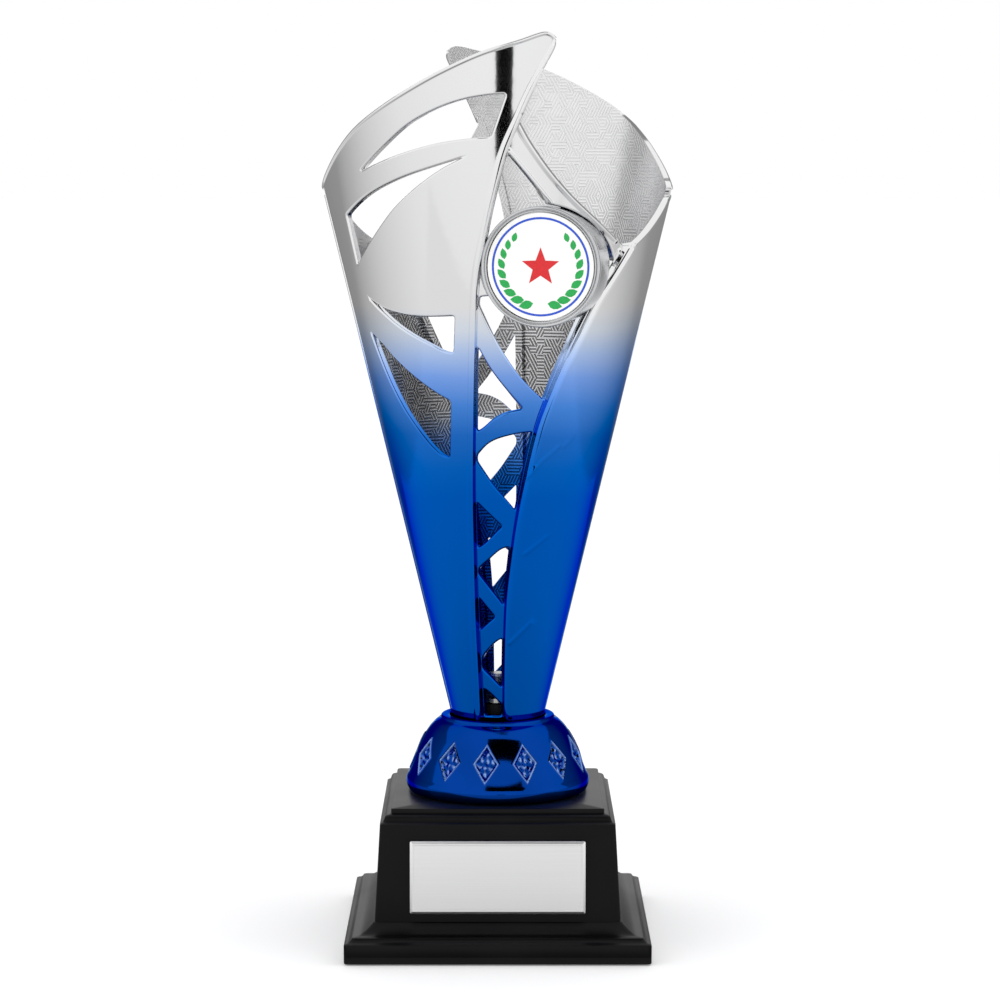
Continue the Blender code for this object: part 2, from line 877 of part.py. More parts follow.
class ShellPattern:
    """Outline, gaps and step lines of one shell on the developed cone."""

    def __init__(self, rear):
        rise = PANEL_RIM_RISE if rear else 0.0
        last = PANEL_RIM[-1][0]
        first = PANEL_RIM[2][0]
        rim = []
        for around, z in PANEL_RIM:
            share = min(1.0, max(0.0, (first - around) / (first - last)))
            rim.append(to_column((around, z + rise * math.sin(math.pi * share))))
        rim[-1] = seam(rim[-1][1], -1)
        panel_edge = [to_column(point) for point in PANEL_EDGE]
        wing_edge = [to_column(point) for point in WING_EDGE]
        strip = [to_column(point) for point in STRIP_TOP]
        wing_rim = [to_column(point) for point in WING_RIM]
        wing_top = to_column((0.0, WING_SEAM_Z))[1]
        foot_left = [between(seam(0.0, -1), panel_edge[0], k / 4) for k in (1, 2, 3)]
        foot_right = [between(wing_edge[0], seam(0.0, 1), k / 4) for k in (1, 2, 3)]
        self.panel_line = panel_edge[: JOINS_STRIP + 1]
        self.wing_line = wing_edge
        self.outline = (
            rim
            + [seam(0.0, -1)]
            + foot_left
            + [panel_edge[0], wing_edge[0]]
            + foot_right
            + [seam(0.0, 1), seam(wing_top, 1)]
            + list(reversed(wing_rim))
            + list(reversed(strip))
            + panel_edge[JOINS_STRIP:]
        )
        gaps = list(LATTICE_GAPS)
        if rear:
            gaps += [GAP_BEHIND_MEDAL, GAP_UNDER_MEDAL]
        else:
            gaps += [GAP_BY_MEDAL, GAP_UNDER_MEDAL]
        self.gaps = [[to_column(point) for point in gap] for gap in gaps]
        self.slits = [] if rear else [[to_column(point) for point in slit] for slit in SLITS]

    def side_of(self, point):
        """How far the point lies into the recess from either panel's edge; negative on a panel."""
        return min(
            distance_to_line(point, self.panel_line), -distance_to_line(point, self.wing_line)
        )

    def crossing(self, start, end, out_at, in_at):
        """Where a side comes into the recess, as a share of its length."""
        for _ in range(30):
            share = (out_at + in_at) / 2
            if self.side_of(between(start, end, share)) > STEP_W / 2:
                in_at = share
            else:
                out_at = share
        return out_at

    def trimmed(self, gap):
        """The sides of a gap that cross the recess, each cut where it reaches a panel's step."""
        sides = []
        shares = [k / 16 for k in range(17)]
        for start, end in zip(gap, gap[1:] + gap[:1]):
            within = []
            for k, share in enumerate(shares):
                if self.side_of(between(start, end, share)) > STEP_W / 2:
                    within.append(k)
            if not within:
                continue
            first = within[0]
            last = within[-1]
            near = start
            far = end
            if first > 0:
                near = between(start, end, self.crossing(start, end, shares[first - 1], shares[first]))
            if last < 16:
                far = between(start, end, self.crossing(start, end, shares[last + 1], shares[last]))
            sides.append((near, far))
        return sides

    def open_at(self, point):
        if not inside(point, self.outline):
            return True
        if any(inside(point, slit) for slit in self.slits):
            return True
        return self.side_of(point) > STEP_W and any(inside(point, gap) for gap in self.gaps)

    def depths(self, point):
        """How far the outer and the inner surface lie behind the cone at the point."""
        into = self.side_of(point)
        outer = RECESS * min(1.0, max(0.0, into / STEP_W))
        inner = RECESS * min(1.0, max(0.0, (into + COLUMN_WALL) / STEP_W))
        return outer, inner + COLUMN_WALL


def grid_points(pattern):
    """Inner points that keep the facets close to the cone."""
    points = []
    rows = 17
    for row in range(1, rows):
        height = COLUMN_H * row / rows
        radius = cone_radius(height)
        count = 19
        for k in range(1, count):
            around = radius * math.pi * (k / count - 0.5)
            points.append((around, height))
    return points


def make_shell(name, rear, surface):
    pattern = ShellPattern(rear)
    points = []
    edges = []

    def add_line(line, closed=False):
        start = len(points)
        points.extend(line)
        count = len(line)
        for i in range(count if closed else count - 1):
            edges.append((start + i, start + (i + 1) % count))

    add_line(pattern.outline, closed=True)
    for slit in pattern.slits:
        add_line(slit, closed=True)
    for gap in pattern.gaps:
        for side in pattern.trimmed(gap):
            add_line(list(side))
    for line, sign in ((pattern.panel_line, 1), (pattern.wing_line, -1)):
        for shift in (STEP_W, 0.0, -COLUMN_WALL + STEP_W, -COLUMN_WALL):
            add_line(beside(line, sign * shift))
    fixed = list(points)
    segments = [(points[a], points[b]) for a, b in edges]
    for point in grid_points(pattern):
        near = min(
            math.hypot(
                point[0] - near_point[0].x, point[1] - near_point[0].y
            )
            for near_point in (clamp_to(point, a, b) for a, b in segments)
        )
        if near > 2.4:
            points.append(point)
    flat = [Vector(point) for point in points]
    found, _, faces, _, _, _ = geometry.delaunay_2d_cdt(flat, edges, [], 0, 1e-4)
    kept = []
    for face in faces:
        corners = [found[i] for i in face]
        middle = (sum(c.x for c in corners) / 3, sum(c.y for c in corners) / 3)
        if not pattern.open_at(middle):
            kept.append(face)
    bm = bmesh.new()
    outer = {}
    inner = {}
    turn = math.pi if rear else 0.0
    for face in kept:
        for i in face:
            if i in outer:
                continue
            around, height = found[i].x, found[i].y
            radius = cone_radius(height)
            azimuth = around / radius + turn
            behind, back = pattern.depths((around, height))
            for table, depth in ((outer, behind), (inner, back)):
                r = radius - depth
                table[i] = bm.verts.new((r * math.sin(azimuth), -r * math.cos(azimuth), height))
    count = {}
    for face in kept:
        bm.faces.new([outer[i] for i in face])
        bm.faces.new([inner[i] for i in reversed(face)])
        for a, b in zip(face, face[1:] + face[:1]):
            count[(a, b)] = count.get((a, b), 0) + 1
    for a, b in count:
        if (b, a) not in count:
            bm.faces.new((outer[b], outer[a], inner[a], inner[b]))
    shell = place(finish(bm, name, surface, 30), z=COLUMN_Z)
    return shell


def clamp_to(point, a, b):
    """Nearest point of the segment a-b to the point."""
    start = Vector(a)
    way = Vector(b) - start
    share = (Vector(point) - start).dot(way) / max(way.length_squared, 1e-9)
    return (start + way * max(0.0, min(1.0, share)), share)


# ---- the medal ----


def medal_frame(depth):
    """Position of a point on the medal's axis, that far behind the bezel's lip."""
    turn = math.radians(BEZEL_TURN)
    share = (DRAWN_MEDAL_Z - DRAWN_FOOT_Z) / (DRAWN_TOP_Z - DRAWN_FOOT_Z)
    z = COLUMN_Z + COLUMN_H * share
    return (MEDAL_X - depth * math.sin(turn), -MEDAL_STANDOFF + depth * math.cos(turn), z)


def face_medal(obj, depth):
    """Turns a piece made about Z, front at its top, to face out of the column."""
    x, y, z = medal_frame(depth)
    place(obj, x, y, z)
    obj.rotation_euler = (math.pi / 2, 0.0, math.radians(BEZEL_TURN))
    return obj


def make_medal():
    inner = MEDAL_D / 2 + TAPE_FIT
    outer = BEZEL_D / 2
    lip = (outer - inner) / 2
    seat = -(MEDAL_SINK + MEDAL_T + TAPE_FIT + MEDAL_TAPE_T + TAPE_FIT)
    floor = seat - BEZEL_FLOOR_T
    profile = [
        (inner, seat),
        (inner, -lip * 0.55),
        (inner + lip * 0.3, -lip * 0.12),
        (inner + lip, 0.0),
        (outer - lip * 0.3, -lip * 0.12),
        (outer, -lip * 0.6),
        (outer, -BEZEL_DEPTH),
        (outer - 1.3, -BEZEL_DEPTH),
        (outer - 1.3, floor),
    ]
    bm = bmesh.new()
    rings = [round_ring(bm, r, z, 56) for r, z in profile]
    for lower, upper in zip(rings, rings[1:]):
        bridge(bm, lower, upper)
    bm.faces.new(rings[0])
    bm.faces.new(list(reversed(rings[-1])))
    face_medal(finish(bm, "medal_bezel", "silver_metallised", 35), 0.0)
    tape = [
        (0.0, 0.0),
        (MEDAL_D / 2 - 1.5, 0.0),
        (MEDAL_D / 2 - 1.5, MEDAL_TAPE_T),
        (0.0, MEDAL_TAPE_T),
    ]
    face_medal(finish(capped_turn(tape, 40), "medal_adhesive", "tape", 35), -seat - TAPE_FIT)
    disc = [
        (0.0, 0.0),
        (MEDAL_D / 2, 0.0),
        (MEDAL_D / 2, MEDAL_T - 0.15),
        (MEDAL_D / 2 - 0.15, MEDAL_T),
        (0.0, MEDAL_T),
    ]
    face_medal(finish(capped_turn(disc, 56), "medal_disc", "printed_card", 35), MEDAL_SINK + MEDAL_T)


def medal_cutter():
    radius = BEZEL_D / 2 + FIT
    profile = [
        (0.0, -BEZEL_DEPTH - 8.0),
        (radius, -BEZEL_DEPTH - 8.0),
        (radius, 8.0),
        (0.0, 8.0),
    ]
    return hide(face_medal(finish(capped_turn(profile, 56), "medal_cutter", "tape"), 0.0))


def main():
    clear_scene()
    make_pad()
    make_ballast()
    make_plinth()
    make_name_plate()
    make_collar()
    make_plug()
    make_bolt()
    _, washer_z, nut_z, _ = bolt_heights()
    make_washer("lower_washer", washer_z)
    make_washer("upper_washer", nut_z - FIT - WASHER_T)
    make_nut(nut_z)
    front = make_shell("front_shell", False, "silver_metallised")
    make_shell("back_shell", True, "faded_metallised")
    cut(front, medal_cutter())
    make_medal()


main()
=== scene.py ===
"""Presentation trophy: an open-work conical column with a round medal holder, on a bell collar
and a black square plinth. Sizes are in millimetres unless a name says otherwise."""

import logging
import math
from dataclasses import dataclass, field
from enum import Enum
from typing import Any, Optional, Sequence, TypeVar

import bmesh
import bpy
import numpy as np
from mathutils import Matrix, Vector, geometry


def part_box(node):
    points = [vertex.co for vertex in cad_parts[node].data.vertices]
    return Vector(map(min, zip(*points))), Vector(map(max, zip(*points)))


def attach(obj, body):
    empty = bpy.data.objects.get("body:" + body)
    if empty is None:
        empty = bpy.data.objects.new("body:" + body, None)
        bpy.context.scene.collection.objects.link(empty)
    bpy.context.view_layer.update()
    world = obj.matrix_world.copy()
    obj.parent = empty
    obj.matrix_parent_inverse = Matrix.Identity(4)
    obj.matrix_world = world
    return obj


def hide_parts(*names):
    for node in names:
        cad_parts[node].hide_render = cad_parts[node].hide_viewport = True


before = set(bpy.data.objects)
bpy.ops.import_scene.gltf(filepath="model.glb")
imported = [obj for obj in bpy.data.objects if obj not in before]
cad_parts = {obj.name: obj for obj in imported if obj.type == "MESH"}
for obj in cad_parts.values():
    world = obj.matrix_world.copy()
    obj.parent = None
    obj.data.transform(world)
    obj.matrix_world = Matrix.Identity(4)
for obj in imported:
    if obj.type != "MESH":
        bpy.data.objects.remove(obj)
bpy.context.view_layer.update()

MM = 0.001
TAU = 2 * math.pi
BODY = "root"
PALE_RIMS_AND_GLINTS = "pale_rims_and_glints"  # attribute on the collar, 0 to 1: paler raised outlines and painted glints on the facets
LOG = logging.getLogger("trophy")

Point = tuple[float, float]
Line = list[Point]
Point3 = tuple[float, float, float]
Pairs = list[tuple[int, int]]
Stops = Sequence[tuple[float, str]]
Verts = list[bmesh.types.BMVert]
BMesh = bmesh.types.BMesh
Material = bpy.types.Material
Node = bpy.types.Node
Object = bpy.types.Object
Socket = bpy.types.NodeSocket
Tree = bpy.types.NodeTree
Number = TypeVar("Number", float, np.ndarray)


# ---------------------------------------------------------------------------
# Small helpers
# ---------------------------------------------------------------------------


def linear(hex_colour: str) -> tuple[float, float, float, float]:
    """Turns an sRGB hex colour to linear RGBA.

    Args:
        hex_colour: six hex digits with a leading #.

    Returns:
        The linear colour with alpha 1.
    """
    parts = [int(hex_colour[i : i + 2], 16) / 255 for i in (1, 3, 5)]
    line = [p / 12.92 if p <= 0.04045 else ((p + 0.055) / 1.055) ** 2.4 for p in parts]
    return (line[0], line[1], line[2], 1.0)


def fill(tree: Tree, node: Node, inputs: dict[Any, Any]) -> None:
    """Sets a node's inputs: a value is stored on the socket, an output socket is linked to it.

    Args:
        tree: the node tree.
        node: the node.
        inputs: socket name or number to a value or to an output socket.
    """
    for key, value in inputs.items():
        if isinstance(value, Socket):
            tree.links.new(value, node.inputs[key])
        else:
            node.inputs[key].default_value = value


def add(
    tree: Tree, kind: str, inputs: Optional[dict[Any, Any]] = None, stops: Stops = (), **settings: Any
) -> Node:
    """Adds a node with its settings, socket values and links.

    Args:
        tree: the node tree.
        kind: the node's type name.
        inputs: socket name or number to a value or to an output socket.
        stops: (position, hex colour) pairs in order, for a node with a colour ramp.
        **settings: attributes of the node.

    Returns:
        The new node.
    """
    node = tree.nodes.new(kind)
    for name, value in settings.items():
        setattr(node, name, value)
    fill(tree, node, inputs or {})
    if stops:
        elements = node.color_ramp.elements
        while len(elements) < len(stops):
            elements.new(1.0)
        for element, (position, colour) in zip(elements, stops):
            element.position = position
            element.color = linear(colour)
    return node


def new_material(name: str) -> tuple[Material, Tree, Node]:
    """A new node material.

    Args:
        name: the material's name.

    Returns:
        The material, its tree and its Principled shader.
    """
    material = bpy.data.materials.new(name)
    material.use_nodes = True
    tree = material.node_tree
    return material, tree, tree.nodes["Principled BSDF"]


def object_from(mesh: bpy.types.Mesh, name: str) -> Object:
    """Links a mesh as an object at the origin.

    Args:
        mesh: the mesh, in metres.
        name: the object's name.

    Returns:
        The object.
    """
    obj = bpy.data.objects.new(name, mesh)
    bpy.context.scene.collection.objects.link(obj)
    return obj


def deliver(obj: Object, replaces: Sequence[str] = ()) -> None:
    """Makes a piece ride on the trophy's body and reports it.

    Args:
        obj: the finished piece.
        replaces: CAD nodes that it stands for.
    """
    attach(obj, BODY)
    if replaces:
        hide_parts(*replaces)
    LOG.info("%s: %d faces", obj.name, len(obj.data.polygons))


def finish_mesh(
    bm: BMesh,
    name: str,
    materials: Sequence[Material],
    place: Optional[Matrix] = None,
    sharp: float = 32.0,
) -> Object:
    """Turns a bmesh in millimetres into a smooth-shaded object in metres.

    Args:
        bm: the bmesh, freed here.
        name: the object's name.
        materials: its material slots.
        place: where the piece goes, in millimetres.
        sharp: edges over this many degrees stay sharp.

    Returns:
        The object.
    """
    bmesh.ops.remove_doubles(bm, verts=bm.verts, dist=0.001)
    bmesh.ops.recalc_face_normals(bm, faces=bm.faces)
    if place is not None:
        bmesh.ops.transform(bm, matrix=place, verts=bm.verts)
    bmesh.ops.scale(bm, vec=(MM, MM, MM), verts=bm.verts)
    mesh = bpy.data.meshes.new(name)
    bm.to_mesh(mesh)
    bm.free()
    mesh.shade_smooth()
    mesh.set_sharp_from_angle(angle=math.radians(sharp))
    for material in materials:
        mesh.materials.append(material)
    return object_from(mesh, name)


# ---------------------------------------------------------------------------
# Finishes
# ---------------------------------------------------------------------------


def uneven(tree: Tree, shader: Node, cloud: Socket, rough: Point, relief: Socket, bump: Point) -> None:
    """Lets the roughness follow one pattern and the fine bumps of the surface another.

    Args:
        tree: the node tree.
        shader: its Principled shader.
        cloud: pattern of the roughness.
        rough: lowest and highest roughness.
        relief: pattern of the bumps.
        bump: their strength and their height in metres.
    """
    vary = add(tree, "ShaderNodeMapRange", {"Value": cloud, "To Min": rough[0], "To Max": rough[1]})
    bumps = add(tree, "ShaderNodeBump", {"Height": relief, "Strength": bump[0], "Distance": bump[1]})
    fill(tree, shader, {"Roughness": vary.outputs["Result"], "Normal": bumps.outputs[0]})


class Face(Enum):
    """Which side of a shell a finish is for."""

    OUTER = "outer"
    INNER = "inner"


@dataclass(frozen=True)
class BarRelief:
    """Moulded relief: patches of short parallel bars that run three ways, with painted shade in the
    grooves between them.

    Attributes:
        pitch: spacing of the bars in mm.
        patch: width of a patch in mm.
        depth: height of the bars in metres, for the bump.
        rough: roughness of the film over the bars.
        low_z: height in metres where the painted shade in the grooves is darkest.
        high_z: height in metres where that painted shade is palest.
        dark_low: how dark the painted shade in the grooves is at low_z, 0 to 1.
        dark_high: how dark that painted shade is at high_z.
    """

    pitch: float = 0.8
    patch: float = 2.0
    depth: float = 0.00018
    rough: float = 0.24
    low_z: float = 0.145
    high_z: float = 0.185
    dark_low: float = 0.78
    dark_high: float = 0.08

    def dress(self, tree: Tree, shader: Node, place: Node, colour: Socket) -> None:
        """Adds the bars to a finish, as bumps and as painted shade that darkens the grooves.

        Args:
            tree: the node tree.
            shader: its Principled shader.
            place: the texture coordinates.
            colour: the film's colour before the grooves darken it.
        """
        per_mm = (1 / MM,) * 3
        spot = add(tree, "ShaderNodeMapping", {"Vector": place.outputs["UV"], "Scale": per_mm})
        # Each patch turns its bars a way of its own.
        cells = add(
            tree,
            "ShaderNodeTexVoronoi",
            {"Vector": spot.outputs[0], "Scale": 1 / self.patch, "Randomness": 0.35},
            voronoi_dimensions="2D",
        )
        pick = add(tree, "ShaderNodeSeparateXYZ", {0: cells.outputs["Color"]})
        third = add(tree, "ShaderNodeMath", {0: pick.outputs["X"], 1: 3.0}, operation="MULTIPLY")
        step = add(tree, "ShaderNodeMath", {0: third.outputs[0]}, operation="FLOOR")
        angle = add(
            tree,
            "ShaderNodeMath",
            {0: step.outputs[0], 1: math.pi / 3, 2: math.pi / 6},
            operation="MULTIPLY_ADD",
        )
        turned = add(
            tree,
            "ShaderNodeVectorRotate",
            {"Vector": spot.outputs[0], "Angle": angle.outputs[0]},
            rotation_type="Z_AXIS",
        )
        across = add(tree, "ShaderNodeSeparateXYZ", {0: turned.outputs[0]})
        phase = add(
            tree, "ShaderNodeMath", {0: across.outputs["X"], 1: TAU / self.pitch}, operation="MULTIPLY"
        )
        wave = add(tree, "ShaderNodeMath", {0: phase.outputs[0]}, operation="SINE")
        flat = add(
            tree,
            "ShaderNodeMapRange",
            {"Value": wave.outputs[0], "From Min": -0.35, "From Max": 0.35},
            interpolation_type="SMOOTHSTEP",
        )
        bars = flat.outputs["Result"]
        bump = add(tree, "ShaderNodeBump", {"Height": bars, "Strength": 0.45, "Distance": self.depth})
        # The grooves are darkened in colour too, painted shade for the shadow in them, and more so low
        # down. Both are given.
        level = add(tree, "ShaderNodeSeparateXYZ", {0: place.outputs["Object"]})
        shade = add(
            tree,
            "ShaderNodeMapRange",
            {
                "Value": level.outputs["Z"],
                "From Min": self.low_z,
                "From Max": self.high_z,
                "To Min": self.dark_low,
                "To Max": self.dark_high,
            },
        )
        groove = add(tree, "ShaderNodeMath", {0: bars, 1: -1.0, 2: 1.0}, operation="MULTIPLY_ADD")
        share = add(
            tree,
            "ShaderNodeMath",
            {0: groove.outputs[0], 1: shade.outputs["Result"]},
            operation="MULTIPLY",
        )
        # Painted shade: a dark grey is multiplied into the film's colour in the grooves.
        mix = add(
            tree,
            "ShaderNodeMix",
            {0: share.outputs[0], 6: colour, 7: linear("#3A3A3C")},
            data_type="RGBA",
            blend_type="MULTIPLY",
        )
        fill(
            tree,
            shader,
            {"Normal": bump.outputs[0], "Base Color": mix.outputs[2], "Roughness": self.rough},
        )


@dataclass(frozen=True)
class MetallisedPlastic:
    """Vacuum-metallised ABS under lacquer, sprayed blue from below.

    The bare aluminium film mirrors like chrome, and the tinted lacquer fades in down the column.

    Attributes:
        name: the material's name.
        side: outer, smooth, or inner, with a relief of small three-way bars.
        fade_low: height in mm where the blue is full.
        fade_high: height in mm where the silver is bare.
        wander: how many mm the edge of the spray wanders.
    """

    name: str
    side: Face = Face.OUTER
    fade_low: float = 110.0
    fade_high: float = 156.0
    wander: float = 8.0

    def build(self) -> Material:
        """Builds the material.

        Returns:
            The material.
        """
        material, tree, shader = new_material(self.name)
        place = add(tree, "ShaderNodeTexCoord")
        where = place.outputs["Object"]
        height = add(tree, "ShaderNodeSeparateXYZ", {0: where})
        mottle = add(tree, "ShaderNodeTexNoise", {"Vector": where, "Scale": 22.0, "Detail": 2.0})
        wander = add(
            tree,
            "ShaderNodeMath",
            {0: mottle.outputs[0], 1: self.wander * MM, 2: height.outputs["Z"]},
            operation="MULTIPLY_ADD",
        )
        share = add(
            tree,
            "ShaderNodeMapRange",
            {
                "Value": wander.outputs[0],
                "From Min": (self.fade_low + self.wander / 2) * MM,
                "From Max": (self.fade_high + self.wander / 2) * MM,
            },
        )
        stops = (
            (0.0, "#005EC4"), (0.15, "#0866C8"), (0.32, "#2470CE"), (0.48, "#4C8CE4"),
            (0.63, "#7FAAF4"), (0.76, "#B4CCF6"), (0.885, "#DEE6F2"), (1.0, "#ECECED"),
        )
        tint = add(tree, "ShaderNodeValToRGB", {"Fac": share.outputs["Result"]}, stops)
        # At a skimming angle the film keeps the lacquer's tint, which fades out in the same place.
        stops = ((0.0, "#3C90F0"), (0.6, "#A8C8F8"), (1.0, "#FFFFFF"))
        skim = add(tree, "ShaderNodeValToRGB", {"Fac": share.outputs["Result"]}, stops)
        fill(tree, shader, {"Metallic": 1.0, "Specular Tint": skim.outputs["Color"]})
        if self.side is Face.INNER:
            BarRelief().dress(tree, shader, place, tint.outputs["Color"])
            return material
        # Roughness that varies a little, and the faint orange peel of lacquer about 2 mm across.
        cloud = add(tree, "ShaderNodeTexNoise", {"Vector": where, "Scale": 90.0, "Detail": 3.0})
        peel = add(tree, "ShaderNodeTexNoise", {"Vector": where, "Scale": 420.0, "Detail": 1.0})
        fill(tree, shader, {"Base Color": tint.outputs["Color"]})
        uneven(tree, shader, cloud.outputs[0], (0.05, 0.10), peel.outputs[0], (0.04, 0.0002))
        return material


@dataclass(frozen=True)
class GlossBlueLacquer:
    """Metallised ABS under a deep blue lacquer: a dark blue mirror."""

    name: str = "Blue lacquered metallised ABS"

    def build(self) -> Material:
        """Builds the material.

        Returns:
            The material.
        """
        material, tree, shader = new_material(self.name)
        place = add(tree, "ShaderNodeTexCoord")
        cloud = add(
            tree, "ShaderNodeTexNoise", {"Vector": place.outputs["Object"], "Scale": 60.0, "Detail": 2.0}
        )
        stops = ((0.3, "#043A92"), (0.7, "#0742A4"))
        colour = add(tree, "ShaderNodeValToRGB", {"Fac": cloud.outputs[0]}, stops)
        # The raised outlines are drawn paler, and the facets carry painted glints: paler colour that
        # stands in for light caught on them. How much is given.
        pale_share = add(tree, "ShaderNodeAttribute", attribute_name=PALE_RIMS_AND_GLINTS)
        mix = add(
            tree,
            "ShaderNodeMix",
            {0: pale_share.outputs["Fac"], 6: colour.outputs["Color"], 7: linear("#A9CCFF")},
            data_type="RGBA",
        )
        rough = add(
            tree, "ShaderNodeMapRange", {"Value": cloud.outputs[0], "To Min": 0.06, "To Max": 0.12}
        )
        fill(
            tree,
            shader,
            {
                "Base Color": mix.outputs[2],
                "Metallic": 1.0,
                "Specular Tint": linear("#3C88EC"),
                "Roughness": rough.outputs["Result"],
            },
        )
        return material


@dataclass(frozen=True)
class MouldedBlack:
    """Injection-moulded plastic off a lightly polished tool: satin, with a very fine grain.

    Attributes:
        name: the material's name.
        dark: hex colour of the hollows.
        light: hex colour of the rises.
        rough: middle roughness.
        grain_mm: size of the grain, coarser than a real one so that it shows.
        shine: specular level, set below the usual 0.5 so that the faces stay black.
    """

    name: str
    dark: str = "#050506"
    light: str = "#0B0B0C"
    rough: float = 0.33
    grain_mm: float = 0.6
    shine: float = 0.14

    def build(self) -> Material:
        """Builds the material.

        Returns:
            The material.
        """
        material, tree, shader = new_material(self.name)
        where = add(tree, "ShaderNodeTexCoord").outputs["Object"]
        size = 1 / (self.grain_mm * MM)
        grain = add(tree, "ShaderNodeTexNoise", {"Vector": where, "Scale": size, "Detail": 2.0})
        cloud = add(tree, "ShaderNodeTexNoise", {"Vector": where, "Scale": 45.0, "Detail": 4.0})
        stops = ((0.35, self.dark), (0.7, self.light))
        colour = add(tree, "ShaderNodeValToRGB", {"Fac": cloud.outputs[0]}, stops)
        fill(tree, shader, {"Base Color": colour.outputs["Color"], "Specular IOR Level": self.shine})
        rough = (self.rough - 0.06, self.rough + 0.08)
        uneven(tree, shader, cloud.outputs[0], rough, grain.outputs[0], (0.12, 0.00005))
        return material


@dataclass(frozen=True)
class Metal:
    """A metal surface, drawn or brushed one way, or even where the line scales are equal.

    Attributes:
        name: the material's name.
        low: hex colour between the lines.
        high: hex colour on the lines.
        rough: middle roughness.
        lines: noise scale along X, Y and Z; the small one is the way the lines run. They are
            coarser than real ones so that they show.
        bump: strength of the lines.
    """

    name: str
    low: str
    high: str
    rough: float
    lines: Point3
    bump: float = 0.08

    def build(self) -> Material:
        """Builds the material.

        Returns:
            The material.
        """
        material, tree, shader = new_material(self.name)
        where = add(tree, "ShaderNodeTexCoord").outputs["Object"]
        stretch = add(tree, "ShaderNodeMapping", {"Vector": where, "Scale": self.lines})
        noise = add(
            tree, "ShaderNodeTexNoise", {"Vector": stretch.outputs[0], "Scale": 1.0, "Detail": 3.0}
        )
        lines = noise.outputs[0]
        colour = add(tree, "ShaderNodeValToRGB", {"Fac": lines}, ((0.3, self.low), (0.7, self.high)))
        fill(tree, shader, {"Base Color": colour.outputs["Color"], "Metallic": 1.0})
        rough = (self.rough - 0.05, self.rough + 0.05)
        uneven(tree, shader, lines, rough, lines, (self.bump, 0.00005))
        return material


@dataclass(frozen=True)
class Film:
    """Printed vinyl film or foam tape: an even colour under a slight sheen.

    Attributes:
        name: the material's name.
        low: hex colour of the darker specks.
        high: hex colour of the rest.
        rough: roughness.
        grain_mm: size of the specks, coarser than real ones so that they show.
    """

    name: str
    low: str
    high: str
    rough: float = 0.35
    grain_mm: float = 0.5

    def build(self) -> Material:
        """Builds the material.

        Returns:
            The material.
        """
        material, tree, shader = new_material(self.name)
        where = add(tree, "ShaderNodeTexCoord").outputs["Object"]
        size = 1 / (self.grain_mm * MM)
        grain = add(tree, "ShaderNodeTexNoise", {"Vector": where, "Scale": size, "Detail": 1.0})
        stops = ((0.3, self.low), (0.6, self.high))
        colour = add(tree, "ShaderNodeValToRGB", {"Fac": grain.outputs[0]}, stops)
        fill(tree, shader, {"Base Color": colour.outputs["Color"], "Roughness": self.rough})
        return material


# ---------------------------------------------------------------------------
# Curves and distances on the developed column
# ---------------------------------------------------------------------------


SHARP_TURN = math.radians(36)  # a drawn line keeps a corner that turns by more than this
CHUNK = 1500  # points measured at a time


def flow(points: Sequence[Point], closed: bool = False, step: float = 0.8) -> Line:
    """A smooth curve through the points that keeps their sharp corners.

    Args:
        points: the drawn points.
        closed: whether the last joins the first.
        step: longest spacing of the result.

    Returns:
        The curve's points.
    """
    pts = [np.array(p, float) for p in points]
    count = len(pts)

    def sharp(i: int) -> bool:
        """Whether the line turns hard at this point, or ends there.

        Args:
            i: number of the point.

        Returns:
            Whether it keeps its corner.
        """
        if not closed and i in (0, count - 1):
            return True
        before = pts[i] - pts[i - 1]
        after = pts[(i + 1) % count] - pts[i]
        turn = math.atan2(before[0] * after[1] - before[1] * after[0], float(before.dot(after)))
        return abs(turn) > SHARP_TURN

    def tangent(i: int, ahead: int) -> np.ndarray:
        """Direction of the curve at a point, for the span before or after it.

        Args:
            i: number of the point.
            ahead: 1 for the span after it, -1 for the one before.

        Returns:
            A vector of length 1.
        """
        here = pts[i % count]
        if sharp(i % count):
            other = pts[(i + ahead) % count]
            way = (other - here) * ahead
        else:
            way = pts[(i + 1) % count] - pts[(i - 1) % count]
        return way / max(np.linalg.norm(way), 1e-9)

    result: Line = []
    for i in range(count if closed else count - 1):
        start = pts[i]
        end = pts[(i + 1) % count]
        span = float(np.linalg.norm(end - start))
        first = tangent(i, 1) * span
        last = tangent((i + 1) % count, -1) * span
        steps = max(1, math.ceil(span / step))
        for k in range(steps):
            t = k / steps
            h = (
                (2 * t**3 - 3 * t**2 + 1) * start
                + (t**3 - 2 * t**2 + t) * first
                + (-2 * t**3 + 3 * t**2) * end
                + (t**3 - t**2) * last
            )
            result.append((float(h[0]), float(h[1])))
    if not closed:
        result.append((float(pts[-1][0]), float(pts[-1][1])))
    return result


def even(loop: Line, step: float, rounds: int = 2) -> Line:
    """A closed loop at an even spacing, with its corners eased.

    Args:
        loop: the closed loop.
        step: spacing of the result.
        rounds: how many times the corners are eased.

    Returns:
        The new loop.
    """
    pts = np.array(loop + [loop[0]])
    lengths = np.hypot(*np.diff(pts, axis=0).T)
    along = np.concatenate([[0.0], np.cumsum(lengths)])
    count = max(8, round(along[-1] / step))
    marks = np.linspace(0, along[-1], count, endpoint=False)
    out = np.stack([np.interp(marks, along, pts[:, k]) for k in (0, 1)], axis=1)
    for _ in range(rounds):
        out = (np.roll(out, 1, axis=0) + 2 * out + np.roll(out, -1, axis=0)) / 4
    return [(float(x), float(z)) for x, z in out]


def unit(vectors: np.ndarray) -> np.ndarray:
    """Vectors of length 1 along the given ones.

    Args:
        vectors: N by any.

    Returns:
        The same shape, of length 1.
    """
    return vectors / np.maximum(np.linalg.norm(vectors, axis=1, keepdims=True), 1e-9)


